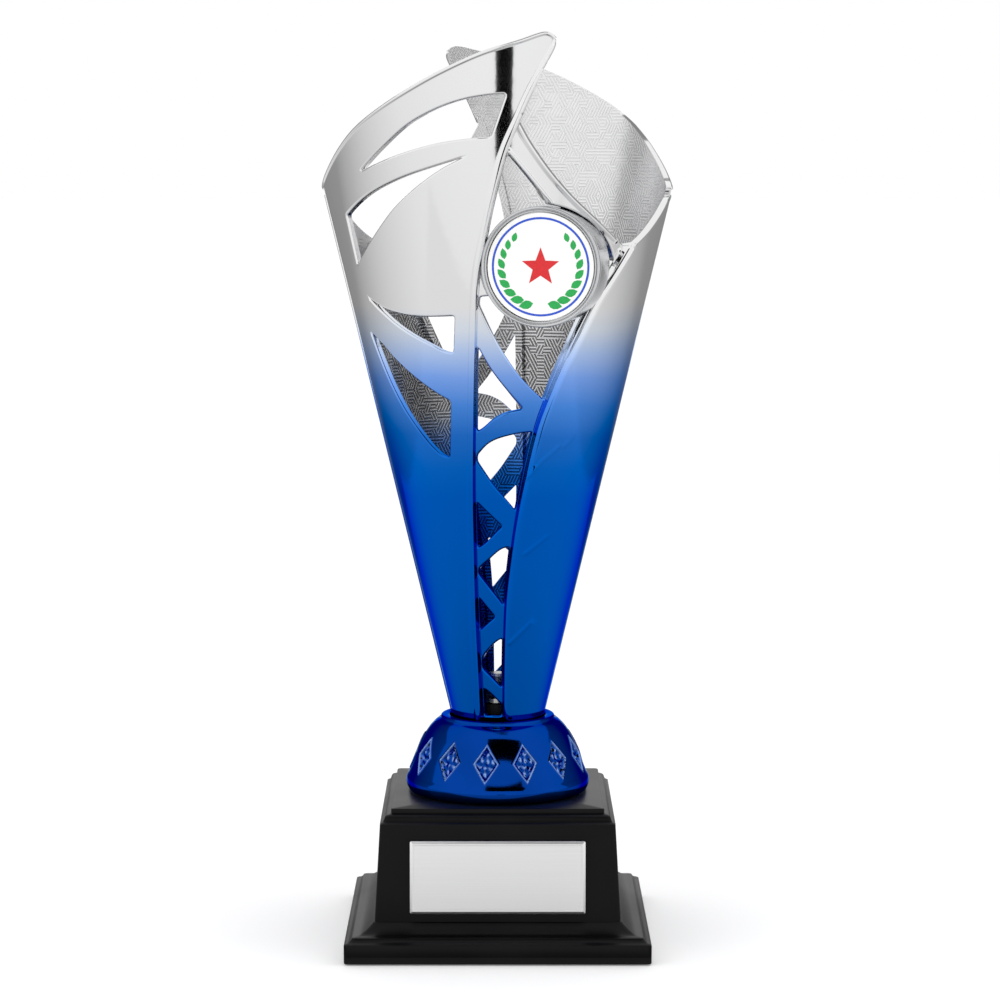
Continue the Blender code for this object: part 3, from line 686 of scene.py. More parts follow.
def nearest(points: np.ndarray, starts: np.ndarray, ends: np.ndarray) -> tuple[np.ndarray, ...]:
    """Nearest place on a set of segments to each point.

    Args:
        points: N by 2.
        starts: M by 2.
        ends: M by 2.

    Returns:
        (distance, nearest place, number of the segment) for each point.
    """
    gaps = np.empty(len(points))
    feet = np.empty((len(points), 2))
    which = np.empty(len(points), int)
    way = ends - starts
    square = np.maximum((way**2).sum(1), 1e-12)
    for low in range(0, len(points), CHUNK):
        rows = slice(low, low + CHUNK)
        part = points[rows]
        rel = part[:, None, :] - starts[None]
        share = np.clip((rel * way).sum(2) / square, 0, 1)
        off = rel - share[..., None] * way
        size = (off**2).sum(2)
        best = size.argmin(1)
        each = np.arange(len(part))
        gaps[rows] = np.sqrt(size[each, best])
        feet[rows] = part - off[each, best]
        which[rows] = best
    return gaps, feet, which


def side_of(points: np.ndarray, line: Line) -> np.ndarray:
    """Signed distance to an upward line, positive on its right.

    Args:
        points: N by 2.
        line: the line's points.

    Returns:
        N distances.
    """
    pts = np.array(line)
    starts, ends = pts[:-1], pts[1:]
    gaps, feet, which = nearest(points, starts, ends)
    way = (ends - starts)[which]
    rel = points - starts[which]
    cross = rel[:, 0] * way[:, 1] - rel[:, 1] * way[:, 0]
    return np.where(cross >= 0, gaps, -gaps)


def within(points: np.ndarray, loop: Line) -> np.ndarray:
    """Whether each point lies in a closed loop.

    Args:
        points: N by 2.
        loop: the loop.

    Returns:
        N truth values.
    """
    pts = np.array(loop)
    nxt = np.roll(pts, -1, axis=0)
    odd = np.zeros(len(points), bool)
    for (ax, az), (bx, bz) in zip(pts, nxt):
        if az == bz:
            continue
        hit = (points[:, 1] < az) != (points[:, 1] < bz)
        cut = (bx - ax) * (points[:, 1] - az) / (bz - az) + ax
        odd ^= hit & (points[:, 0] < cut)
    return odd


def beside(line: Line, shift: float) -> Line:
    """The line moved to its right.

    Args:
        line: an open line.
        shift: how far.

    Returns:
        The moved line.
    """
    pts = np.array(line)
    way = unit(np.gradient(pts, axis=0))
    moved = pts + np.stack([way[:, 1], -way[:, 0]], axis=1) * shift
    return [(float(x), float(z)) for x, z in moved]


def triangulate(points: Line, edges: Pairs) -> tuple[np.ndarray, np.ndarray]:
    """Fills the points with triangles that keep the edges.

    Args:
        points: the points.
        edges: pairs of point numbers.

    Returns:
        (points, triangles) as arrays, with the triangles anticlockwise.
    """
    found, _, faces, _, _, _ = geometry.delaunay_2d_cdt([Vector(p) for p in points], edges, [], 0, 1e-4)
    flat = np.array([(v.x, v.y) for v in found])
    tris = np.array([f for f in faces if len(f) == 3])
    a, b, c = flat[tris[:, 0]], flat[tris[:, 1]], flat[tris[:, 2]]
    area = (b[:, 0] - a[:, 0]) * (c[:, 1] - a[:, 1]) - (b[:, 1] - a[:, 1]) * (c[:, 0] - a[:, 0])
    tris[area < 0] = tris[area < 0][:, ::-1]
    return flat, tris[np.abs(area) > 1e-9]


def border(tris: np.ndarray) -> list[list[int]]:
    """Closed loops of point numbers round the triangles, the filled side on the left.

    Args:
        tris: triangles.

    Returns:
        The loops.
    """
    seen = {}
    for tri in tris.tolist():
        for a, b in zip(tri, tri[1:] + tri[:1]):
            seen[(a, b)] = True
    ways: dict[int, list[int]] = {}
    for a, b in seen:
        if (b, a) not in seen:
            ways.setdefault(a, []).append(b)
    loops = []
    while ways:
        start = next(iter(ways))
        loop = [start]
        here = start
        while True:
            after = ways[here].pop()
            if not ways[here]:
                del ways[here]
            if after == start:
                break
            loop.append(after)
            here = after
        loops.append(loop)
    return loops


# ---------------------------------------------------------------------------
# The column's shells
# ---------------------------------------------------------------------------

SHORTEST_LOOP = 4.0  # a shorter outline is a crumb between two cuts and is dropped
SQUARE = 0.04  # of points closer than about this, only the first is kept
EDGE_ROWS = (0.06, 0.25, 0.6, 1.0, 1.7)  # rows of points along a cut edge, in edge radii

# Drawn on the developed outer surface: (distance round from the front, height).
DRAWN_FOOT = 50.6  # height of the foot in these outlines
PANEL_RIM: Line = [
    (13.6, 217.8), (12.3, 218.8), (10.6, 219.1), (5.3, 217.4), (-4.0, 214.5), (-13.7, 210.3),
    (-22.5, 205.9), (-30.9, 201.5), (-38.0, 197.5), (-44.4, 193.2), (-50.0, 189.5),
    (-55.0, 186.8), (-60.5, 184.7), (-66.5, 183.5),
]
PANEL_EDGE: Line = [
    (-4.3, 50.6), (-4.9, 66.0), (-5.5, 80.0), (-5.8, 95.0), (-6.0, 110.0), (-5.9, 122.0),
    (-5.7, 134.0), (-5.4, 147.0), (-5.0, 157.5), (-4.2, 165.6), (-2.9, 172.0), (-1.6, 178.0),
    (0.4, 185.8), (2.4, 192.6), (5.3, 199.1), (7.1, 203.2), (9.0, 207.0), (11.0, 210.4),
    (12.9, 213.6), (13.9, 215.4), (14.3, 216.7),
]
JOINS_STRIP = 14  # where in the panel's edge the top strip joins it
STRIP_TOP: Line = [
    (8.0, 194.6), (11.9, 189.4), (15.2, 185.7), (19.1, 182.0), (23.2, 178.8), (27.7, 175.7), (32.8, 172.3)
]
WING_RIM: Line = [(37.0, 169.9), (43.2, 172.7), (50.0, 176.4), (57.7, 180.2)]
WING_SEAM_Z = 182.0
WING_EDGE: Line = [
    (1.6, 50.6), (1.6, 63.0), (2.0, 83.0), (3.5, 96.6), (5.2, 107.2), (9.6, 126.0),
    (12.6, 133.8), (16.3, 141.7), (18.8, 146.1), (21.2, 150.3), (23.7, 154.4), (25.9, 157.8),
    (28.6, 160.9), (32.0, 164.6), (37.0, 169.9),
]
SLITS: list[Line] = [
    [
        (-36.5, 187.6), (-29.0, 193.0), (-21.6, 198.2), (-14.6, 201.6), (-8.2, 203.7),
        (-2.5, 204.7), (1.8, 205.0), (-1.6, 195.4), (-7.2, 195.0), (-12.6, 194.3),
        (-18.3, 193.1), (-24.3, 191.5), (-31.0, 189.4),
    ],
    [
        (-44.4, 177.2), (-36.2, 181.2), (-31.7, 183.2), (-26.3, 185.2), (-21.4, 186.8),
        (-16.9, 188.1), (-12.7, 189.3), (-8.1, 190.7), (-12.7, 188.5), (-17.0, 185.9),
        (-21.6, 182.7), (-26.7, 178.7), (-30.5, 175.1), (-34.6, 171.2), (-37.9, 168.2),
        (-41.2, 165.3),
    ],
    [
        (-36.8, 157.3), (-31.5, 155.4), (-28.0, 154.6), (-23.5, 153.9), (-18.5, 153.6),
        (-14.3, 153.7), (-10.4, 153.9), (-10.8, 145.2), (-13.0, 145.6), (-16.0, 146.9),
        (-20.7, 148.8), (-25.9, 151.2), (-31.0, 154.0),
    ],
    [
        (-38.0, 149.2), (-32.8, 146.6), (-28.6, 143.6), (-24.2, 140.7), (-19.4, 137.7),
        (-14.8, 135.1), (-11.6, 133.6), (-12.0, 120.0), (-13.8, 120.4), (-16.9, 122.6),
        (-21.6, 127.1), (-25.5, 131.2), (-29.6, 136.3), (-33.5, 141.9),
    ],
]
STRIP_LOW: Line = [(2.5, 191.2), (7.2, 186.0), (12.6, 179.8)]
GAP_BY_MEDAL: Line = [(-30.0, 166.5), (-30.0, 191.2)] + STRIP_LOW + [(12.0, 166.5)]
GAP_BEHIND_MEDAL: Line = (
    [(-30.0, 157.0), (-30.0, 191.2)]
    + STRIP_LOW
    + [(18.0, 174.2), (24.0, 169.0), (31.5, 162.5), (60.0, 162.5), (60.0, 157.0)]
)
GAP_UNDER_MEDAL: Line = [
    (-30.0, 157.2), (-2.2, 158.6), (12.0, 162.0), (60.0, 162.0), (60.0, 134.0),
    (11.9, 134.0), (8.3, 137.0), (4.7, 140.8), (-0.1, 147.8), (-4.6, 156.4), (-30.0, 156.6),
]
LATTICE_GAPS: list[Line] = [
    [
        (-30.0, 147.2), (-5.5, 147.2), (-1.6, 141.0), (2.9, 135.6), (6.6, 131.7),
        (2.6, 131.0), (-0.6, 129.7), (-6.2, 126.2), (-30.0, 126.2),
    ],
    [
        (-6.2, 119.8), (-1.8, 123.7), (4.6, 125.6), (9.4, 126.0), (60.0, 126.0),
        (60.0, 106.8), (5.0, 106.8), (3.0, 109.0), (-1.0, 113.2),
    ],
    [(-30.0, 109.6), (-6.3, 109.6), (1.2, 103.0), (-6.3, 97.6), (-30.0, 97.6)],
    [(-5.9, 91.8), (-3.1, 94.2), (2.6, 97.8), (60.0, 97.8), (60.0, 82.8), (2.3, 82.8)],
    [(-30.0, 86.0), (-6.0, 86.0), (-0.7, 80.4), (-6.0, 76.4), (-30.0, 76.4)],
    [(-5.2, 67.9), (-3.7, 71.0), (2.0, 75.0), (60.0, 75.0), (60.0, 61.9), (2.0, 61.9)],
    [(-30.0, 62.2), (-5.0, 62.2), (1.5, 57.8), (1.5, 55.2), (-30.0, 55.2)],
]
# The rear shell's own shapes of the fourth and fifth gap.
REAR_GAPS: dict[int, Line] = {
    3: [(-5.9, 91.0), (-3.1, 92.8), (2.6, 95.8), (60.0, 95.8), (60.0, 82.8), (2.3, 82.8)],
    4: [(-30.0, 86.0), (-6.0, 85.0), (-2.0, 80.4), (-6.0, 77.0), (-30.0, 76.4)],
}
# Faint raised lines that carry the lattice's strips on over the wing.
WING_LINES: list[Line] = [
    [(5.6, 113.6), (11.0, 119.2), (15.2, 122.4)],
    [(16.9, 122.6), (19.2, 124.4)],
    [(6.6, 96.4), (12.6, 100.6)],
    [(3.0, 74.2), (8.2, 79.0)],
]


@dataclass
class Medal:
    """The round holder, its insert and where they stand.

    Attributes:
        insert_d: diameter of the insert.
        holder_d: outer diameter of the holder.
        depth: length of the holder.
        turn: turn about the vertical, in degrees.
        x: sideways place of the lip's centre.
        stand_off: distance of the lip's centre in front of the column's axis.
        z: height of the centre.
    """

    insert_d: float = 25.0
    holder_d: float = 28.0
    depth: float = 14.0
    turn: float = -11.0
    x: float = 9.8
    stand_off: float = 40.5
    z: float = 165.8

    def frame(self) -> Matrix:
        """Places a piece made about Z, front at its top and lip at 0, into the column.

        Returns:
            The matrix, in millimetres.
        """
        return (
            Matrix.Translation((self.x, -self.stand_off, self.z))
            @ Matrix.Rotation(math.radians(self.turn), 4, "Z")
            @ Matrix.Rotation(math.pi / 2, 4, "X")
        )


@dataclass
class Shell:
    """One moulded shell of the column.

    Attributes:
        rear: the plain shell at the back, which is turned half round.
        foot_z: height of the shell's foot.
        height: length of the column.
        foot_r: outer radius at the foot.
        top_r: outer radius at the tip.
        wall: wall thickness.
        recess: how far the lattice lies behind the panels.
        step: how far into the recess an opening may reach towards a panel.
        ramp: width of the step down into the recess.
        edge_r: radius of the cut edges.
        panel_round: radius of the panel's shoulder at the recess.
        panel_drop: how far that shoulder falls.
        wing_round: radius of the wing's wider shoulder.
        wing_drop: how far it falls.
        panel_sink: how far the panel lies behind its polished border.
        border_w: width of that border along the free edge.
        rim_border_w: its width along the rim.
        rail_w: width of the rail along the top strip.
        rail_h: its height.
        low_rail_w: width of the rail along the strip's lower edge.
        low_rail_h: its height.
        mark_w: half width of the faint lines on the wing.
        mark_h: their height.
        rim_rise: extra height of the rear rim half way round.
        seam: gap between the shells.
        grid: spacing of the inner points.
        loops: closed outlines of the shell and its openings, once it is cut out.
    """

    rear: bool
    foot_z: float = 50.8
    height: float = 168.6
    foot_r: float = 10.64
    top_r: float = 51.27
    wall: float = 1.8
    recess: float = 2.2
    step: float = 0.4
    ramp: float = 0.22
    edge_r: float = 0.55
    panel_round: float = 0.7
    panel_drop: float = 0.6
    wing_round: float = 1.9
    wing_drop: float = 1.25
    panel_sink: float = 0.35
    border_w: float = 1.9
    rim_border_w: float = 1.1
    rail_w: float = 1.9
    rail_h: float = 0.6
    low_rail_w: float = 1.5
    low_rail_h: float = 0.5
    mark_w: float = 0.45
    mark_h: float = 0.12
    rim_rise: float = 2.8
    seam: float = 0.3
    grid: float = 2.2
    loops: list[Line] = field(default_factory=list)

    def radius(self, z: Number) -> Number:
        """Outer radius of the cone at a height."""
        return self.foot_r + (self.top_r - self.foot_r) * (z - self.foot_z) / self.height

    def up(self, line: Sequence[Point]) -> Line:
        """A drawn line at the shell's own height."""
        shift = self.foot_z - DRAWN_FOOT
        return [(u, z + shift) for u, z in line]

    def seam_point(self, z: float, side: int) -> Point:
        """A point on the seam at a height, on the left (-1) or the right (1)."""
        return (side * (self.radius(z) * math.pi / 2 - self.seam / 2), z)

    def __post_init__(self) -> None:
        """Sets out the lines that the shell is made from."""
        first, last = PANEL_RIM[2][0], PANEL_RIM[-1][0]
        rim = []
        for u, z in PANEL_RIM:
            share = min(1.0, max(0.0, (first - u) / (first - last)))
            rise = self.rim_rise * math.sin(math.pi * share) if self.rear else 0.0
            rim.append((u, z + rise))
        rim = self.up(rim)
        rim[-1] = self.seam_point(rim[-1][1], -1)
        self.rim = flow(rim)
        edge = self.up(PANEL_EDGE)
        self.panel_edge = flow(edge)
        self.panel_line = flow(edge[: JOINS_STRIP + 1])
        self.wing_line = flow(self.up(WING_EDGE))
        self.strip_top = flow([edge[JOINS_STRIP]] + self.up(STRIP_TOP))
        self.strip_low = flow(self.up(STRIP_LOW))
        wing_rim = self.up(WING_RIM)
        wing_top = WING_SEAM_Z + self.foot_z - DRAWN_FOOT
        foot = self.foot_z
        self.outline = (
            self.rim
            + [self.seam_point(foot, -1), edge[0], self.wing_line[0], self.seam_point(foot, 1)]
            + list(reversed(flow(wing_rim + [self.seam_point(wing_top, 1)])))
            + list(reversed(self.strip_top))[:-1]
            + flow(edge[JOINS_STRIP:])
        )
        gaps = [REAR_GAPS.get(i, gap) if self.rear else gap for i, gap in enumerate(LATTICE_GAPS)]
        gaps += [GAP_UNDER_MEDAL, GAP_BEHIND_MEDAL if self.rear else GAP_BY_MEDAL]
        self.gaps = [flow(self.up(gap), closed=True) for gap in gaps]
        if not self.rear:
            self.gaps.append(self.holder_hole(Medal()))
        slits = [] if self.rear else SLITS
        self.slits = [flow(self.up(slit), closed=True) for slit in slits]

    def holder_hole(self, medal: Medal) -> Line:
        """Where the medal's holder passes through the recessed web.

        Args:
            medal: the medal.

        Returns:
            A closed loop on the developed surface.
        """
        frame_m = medal.frame()
        reach = medal.holder_d / 2 + self.seam
        loop = []
        for k in range(72):
            angle = TAU * k / 72
            edge = Vector((reach * math.cos(angle), reach * math.sin(angle), 0.0))
            low, high = -30.0, 5.0
            for _ in range(40):
                mid = (low + high) / 2
                spot = frame_m @ (edge + Vector((0, 0, mid)))
                if math.hypot(spot.x, spot.y) > self.radius(spot.z) - self.recess:
                    high = mid
                else:
                    low = mid
            loop.append((math.atan2(spot.x, -spot.y) * self.radius(spot.z), spot.z))
        return loop

    def into(self, points: np.ndarray) -> np.ndarray:
        """How far points lie into the recess from either panel's edge; negative on a panel.

        Args:
            points: N by 2.

        Returns:
            N distances.
        """
        return np.minimum(side_of(points, self.panel_line), -side_of(points, self.wing_line))

    def open_at(self, points: np.ndarray) -> np.ndarray:
        """Whether there is no material at each point.

        Args:
            points: N by 2.

        Returns:
            N truth values.
        """
        bare = ~within(points, self.outline)
        for slit in self.slits:
            bare |= within(points, slit)
        gap = np.zeros(len(points), bool)
        for loop in self.gaps:
            gap |= within(points, loop)
        return bare | (gap & (self.into(points) > self.step))

    def cut_out(self) -> None:
        """Finds the closed outlines of the shell and of all its openings."""
        points: Line = []
        edges: Pairs = []

        def lay(line: Line, closed: bool) -> None:
            """Adds a line to the points and edges.

            Args:
                line: the line.
                closed: whether its last point joins its first.
            """
            start = len(points)
            points.extend(line)
            size = len(line)
            for i in range(size if closed else size - 1):
                edges.append((start + i, start + (i + 1) % size))

        lay(self.outline, True)
        for slit in self.slits:
            lay(slit, True)
        limit = self.step / 2
        for gap in self.gaps:
            inside = self.into(np.array(gap)) > limit
            size = len(gap)
            for i in range(size):
                j = (i + 1) % size
                if inside[i] or inside[j]:
                    lay([gap[i], gap[j]], False)
        for line, sign in ((self.panel_line, 1), (self.wing_line, -1)):
            lay(beside(line, sign * self.step), False)
        flat, tris = triangulate(points, edges)
        kept = tris[~self.open_at(flat[tris].mean(axis=1))]
        self.loops = []
        for loop in border(kept):
            line = [tuple(flat[i]) for i in loop]
            length = sum(math.dist(a, b) for a, b in zip(line, line[1:] + line[:1]))
            if length > SHORTEST_LOOP:
                self.loops.append(even(line, 0.5, 1))

    def filled(self, points: np.ndarray) -> np.ndarray:
        """Whether each point lies on the shell, once it is cut out.

        Args:
            points: N by 2.

        Returns:
            N truth values.
        """
        odd = np.zeros(len(points), bool)
        for loop in self.loops:
            odd ^= within(points, loop)
        return odd

    def relief(self, points: np.ndarray) -> tuple[np.ndarray, np.ndarray]:
        """Depth of the outer and of the inner surface behind the cone, cut edges left out.

        Args:
            points: N by 2.

        Returns:
            (outer, inner) depths.
        """
        panel = side_of(points, self.panel_line)
        wing = -side_of(points, self.wing_line)
        into = np.minimum(panel, wing)
        on_left = np.abs(panel) < np.abs(wing)
        # Rounded shoulder of the panel's border, and the wing's wider one.
        radius = np.where(on_left, self.panel_round, self.wing_round)
        shoulder = np.clip((into + radius) / radius, 0, 1)
        drop = np.where(on_left, self.panel_drop, self.wing_drop)
        rounded = drop * (1 - np.sqrt(np.maximum(0, 1 - shoulder**2)))
        wall = np.clip(into / self.ramp, 0, 1)
        outer = rounded + (self.recess - rounded) * wall
        # Polished border along the panel's free edge and, narrower, along its rim.
        edge = np.abs(side_of(points, self.panel_edge))
        top = np.abs(side_of(points, self.rim[::-1]))
        on_panel = (into <= 0) & ((points[:, 0] < 2) | (points[:, 1] > 190))
        on_panel &= wing > 0
        across = np.clip(np.minimum(edge / self.border_w, top / self.rim_border_w), 0, 1)
        fall = 0.5 * (1 + np.cos(math.pi * (2 * across - 1)))
        border_h = np.where(across < 0.5, 1.0, fall)
        outer = outer + np.where(on_panel, self.panel_sink * (1 - border_h), 0.0)
        # Two rails along the top strip with a groove between them.
        in_recess = into > self.ramp
        rail = np.abs(side_of(points, self.strip_top))
        rail_low = np.abs(side_of(points, self.strip_low))
        high = np.sin(math.pi * np.clip(rail / self.rail_w, 0, 1)) ** 2
        low = np.sin(math.pi * np.clip(rail_low / self.low_rail_w, 0, 1)) ** 2
        rails = self.rail_h * high + self.low_rail_h * low
        outer = outer - np.where(in_recess, rails, 0.0)
        # Faint lines over the wing.
        for line in WING_LINES:
            near = np.abs(side_of(points, self.up(line)))
            mark = self.mark_h * np.exp(-((near / self.mark_w) ** 2))
            outer = outer - np.where(into < 0, mark, 0.0)
        inner = self.recess * np.clip((into + self.wall) / self.ramp, 0, 1) + self.wall
        return outer, inner

    @staticmethod
    def cell(point: Point) -> tuple[int, int]:
        """The small square that a point falls in."""
        return (round(point[0] / SQUARE), round(point[1] / SQUARE))

    def lay(self, point: Point, chosen: Line, taken: dict[tuple[int, int], int]) -> int:
        """Adds a point unless its small square already has one.

        Args:
            point: the point.
            chosen: the points so far.
            taken: number of the point in each small square.

        Returns:
            The number of the square's point.
        """
        key = self.cell(point)
        if key not in taken:
            taken[key] = len(chosen)
            chosen.append(point)
        return taken[key]

    def off_steps(self, points: np.ndarray) -> np.ndarray:
        """The points that lie on neither face's step into the recess.

        Args:
            points: N by 2.

        Returns:
            The points that are left.
        """
        into = self.into(points)
        clear = 0.1
        band = self.ramp + clear
        on_outer = (into > -clear) & (into < band)
        on_inner = (into > -self.wall - clear) & (into < band - self.wall)
        return points[~(on_outer | on_inner)]

    def angle(self, points: np.ndarray) -> np.ndarray:
        """Angle about the column's axis of points on the developed surface, 0 at the front."""
        return points[:, 0] / self.radius(points[:, 1]) + (math.pi if self.rear else 0.0)

    def place(self, points: np.ndarray, depth: np.ndarray) -> np.ndarray:
        """Points on the developed surface, at a depth behind the cone, in space.

        Args:
            points: N by 2.
            depth: N depths.

        Returns:
            N by 3 points.
        """
        angle = self.angle(points)
        r = self.radius(points[:, 1]) - depth
        return np.stack([r * np.sin(angle), -r * np.cos(angle), points[:, 1]], axis=1)

    def axes(self, points: np.ndarray) -> tuple[np.ndarray, np.ndarray, np.ndarray]:
        """Three ways at points on the developed surface.

        Args:
            points: N by 2.

        Returns:
            (round the cone, straight out from its axis, up its wall for a rise of 1).
        """
        sin, cos = np.sin(self.angle(points)), np.cos(self.angle(points))
        level = np.zeros_like(sin)
        out_way = np.stack([sin, -cos, level], axis=1)
        lean = (self.top_r - self.foot_r) / self.height
        return np.stack([cos, sin, level], axis=1), out_way, out_way * lean + np.array([0, 0, 1.0])

    def walk_edges(self) -> tuple[Line, Pairs, np.ndarray]:
        """Collects the cut edges, and rows of points that follow them inside the shell.

        Returns:
            (points on the edges, pairs of them that are joined, points of the rows).
        """
        points: Line = []
        edges: Pairs = []
        rows: list[np.ndarray] = []
        for loop in self.loops:
            start, size = len(points), len(loop)
            points.extend(loop)
            edges.extend((start + i, start + (i + 1) % size) for i in range(size))
            pts = np.array(loop)
            way = unit(np.roll(pts, -1, axis=0) - np.roll(pts, 1, axis=0))
            inward = np.stack([-way[:, 1], way[:, 0]], axis=1)
            for share in EDGE_ROWS:
                row = pts + inward * share * self.edge_r
                rows.append(np.column_stack([row, np.full(size, share)]))
        self.starts = np.array(points)
        self.ends = self.starts[[end for _, end in edges]]
        extra = np.concatenate(rows)
        gaps, _, _ = nearest(extra[:, :2], self.starts, self.ends)
        return points, edges, extra[gaps > 0.9 * extra[:, 2] * self.edge_r][:, :2]

    def guide_lines(self) -> list[Line]:
        """Lines that the mesh follows, which keep steps, borders and rails crisp.

        Returns:
            Open lines on the developed surface.
        """
        lines: list[Line] = []
        soft = 0.05  # the shading turns within this much of a step's foot and brow
        for line, sign in ((self.panel_line, 1), (self.wing_line, -1)):
            reach = self.panel_round if sign > 0 else self.wing_round
            shifts = [-soft, self.ramp, self.ramp + soft]
            shifts += [shift - self.wall for shift in (-soft, 0.0, self.ramp, self.ramp + soft)]
            shifts += [-reach * share for share in (0.0, 0.15, 0.35, 0.6, 1.0)]
            lines += [beside(line, sign * shift) for shift in shifts]
        for line, places in (
            (self.panel_edge, (-0.95, -1.15, -1.35, -1.55, -1.75, -1.9, -2.1)),
            (self.rim[::-1], (0.55, 0.7, 0.82, 0.95, 1.1, 1.3)),
            (self.strip_top, (0.3, 0.5, 0.7, 0.95, 1.2, 1.45, 1.7, 1.9, 2.2)),
            (self.strip_low, (-0.2, -0.4, -0.6, -0.75, -0.9, -1.1, -1.3, -1.5, -1.8)),
        ):
            lines += [beside(line, shift) for shift in places]
        for mark in WING_LINES:
            curve = flow(self.up(mark), step=0.5)
            lines += [beside(curve, self.mark_w * share) for share in (-2, -1, 0, 1, 2)]
        return lines

    def grid_points(self) -> np.ndarray:
        """Evenly spaced points over the whole developed half cone.

        Returns:
            N by 2 points.
        """
        grid: Line = []
        z = self.foot_z
        while z < self.foot_z + self.height:
            half = self.radius(z) * math.pi / 2
            count = max(12, math.ceil(2 * half / self.grid))
            grid += [(half * (2 * k / count - 1), z) for k in range(1, count)]
            z += self.grid
        return np.array(grid)

    def build(self, name: str, outer: Material, inner: Material) -> Object:
        """Builds the shell.

        Args:
            name: the piece's name.
            outer: finish of the outside and the edges.
            inner: finish of the inside.

        Returns:
            The object.
        """
        self.cut_out()
        chosen, edges, rows = self.walk_edges()
        rows = self.off_steps(rows[self.filled(rows)])
        loose = self.off_steps(self.grid_points())
        gaps, _, _ = nearest(loose, self.starts, self.ends)
        loose = loose[(gaps > self.edge_r * 0.5) & self.filled(loose)]
        taken = {self.cell(point): i for i, point in enumerate(chosen)}
        for line in self.guide_lines():
            pts = np.array(line)
            gaps, _, _ = nearest(pts, self.starts, self.ends)
            kept = (gaps > 2 * SQUARE) & self.filled(pts)
            before = None
            for point, good in zip(line, kept):
                number = self.lay(point, chosen, taken) if good else None
                if before is not None and number is not None and number != before:
                    edges.append((before, number))
                before = number
        for point in np.concatenate([rows, loose]).tolist():
            self.lay((point[0], point[1]), chosen, taken)
        flat, tris = triangulate(chosen, edges)
        tris = tris[self.filled(flat[tris].mean(axis=1))]
        return self.skin(name, flat, tris, outer, inner)

    def skin(
        self, name: str, flat: np.ndarray, tris: np.ndarray, outer_m: Material, inner_m: Material
    ) -> Object:
        """Wraps the flat triangles round the cone as a closed wall with exact normals.

        Args:
            name: the piece's name.
            flat: points on the developed surface.
            tris: triangles.
            outer_m: outside finish.
            inner_m: inside finish.

        Returns:
            The object.
        """
        used = np.unique(tris)
        renumber = np.full(len(flat), -1)
        renumber[used] = np.arange(len(used))
        flat, tris = flat[used], renumber[tris]
        gap, foot, which = nearest(flat, self.starts, self.ends)
        share = np.clip((self.edge_r - gap) / self.edge_r, 0, 1)
        rounding = self.edge_r * (1 - np.sqrt(np.maximum(0, 1 - share**2)))
        outward = foot - flat
        size = np.linalg.norm(outward, axis=1)
        way = unit((self.ends - self.starts)[which])
        side = np.stack([way[:, 1], -way[:, 0]], axis=1)
        near = size < 0.02
        outward[~near] /= size[~near][:, None]
        outward[near] = side[near]
        deep_out, deep_in = self.relief(flat)
        out_xyz = self.place(flat, deep_out + rounding)
        in_xyz = self.place(flat, np.maximum(deep_in, deep_out + rounding + 0.3))
        round_way, out_way, up_way = self.axes(flat)
        reach = 0.04  # the surface's lean is taken over this much to either side
        leans = []
        for way in (np.array([reach, 0.0]), np.array([0.0, reach])):
            ahead, behind = self.relief(flat + way), self.relief(flat - way)
            leans.append([(a - b) / (2 * reach) for a, b in zip(ahead, behind)])

        def normals(du: np.ndarray, dz: np.ndarray) -> np.ndarray:
            """Unit normals of the surface that leans this much along and up."""
            return unit(np.cross(round_way - out_way * du[:, None], up_way - out_way * dz[:, None]))

        n_out = normals(leans[0][0], leans[1][0])
        n_in = -normals(leans[0][1], leans[1][1])
        sideways = outward[:, :1] * round_way + outward[:, 1:] * unit(up_way)
        facing = np.sqrt(np.maximum(0, 1 - share**2))[:, None]
        n_edge = unit(n_out * facing + sideways * share[:, None])
        count = len(flat)
        verts = np.concatenate([out_xyz, in_xyz]) * MM
        walls = []
        for loop in border(tris):
            for a, b in zip(loop, loop[1:] + loop[:1]):
                walls.append((b, a, a + count, b + count))
        faces = tris.tolist() + (tris[:, ::-1] + count).tolist() + walls
        mesh = bpy.data.meshes.new(name)
        mesh.from_pydata(verts.tolist(), [], faces)
        mesh.materials.append(outer_m)
        mesh.materials.append(inner_m)
        slots = [0] * len(tris) + [1] * len(tris) + [0] * len(walls)
        mesh.polygons.foreach_set("material_index", slots)
        corners = np.concatenate(
            [n_edge[tris.ravel()], n_in[tris[:, ::-1].ravel()]]
            + [sideways[np.array(walls).ravel() % count]]
        )
        uv = np.concatenate([flat, flat])
        order = np.empty(len(mesh.loops), int)
        mesh.loops.foreach_get("vertex_index", order)
        layer = mesh.uv_layers.new(name="developed")
        layer.data.foreach_set("uv", (uv[order] * MM).ravel())
        mesh.shade_smooth()
        mesh.update()
        mesh.normals_split_custom_set(corners.tolist())
        return object_from(mesh, name)


# ---------------------------------------------------------------------------
# Turned and moulded pieces
# ---------------------------------------------------------------------------


def ring(bm: BMesh, radius: float, height: float, count: int, first: float = 0.0) -> Verts:
    """A ring of vertices about Z.

    Args:
        bm: the bmesh.
        radius: its radius.
        height: its height.
        count: how many vertices.
        first: angle of the first one in radians.

    Returns:
        The vertices.
    """
    angles = [first + TAU * k / count for k in range(count)]
    return [bm.verts.new((radius * math.cos(a), radius * math.sin(a), height)) for a in angles]


def bridge(bm: BMesh, lower: Verts, upper: Verts) -> None:
    """Quads between two rings of as many vertices.

    Args:
        bm: the bmesh.
        lower: one ring.
        upper: the other.
    """
    size = len(lower)
    for i in range(size):
        j = (i + 1) % size
        bm.faces.new((lower[i], lower[j], upper[j], upper[i]))


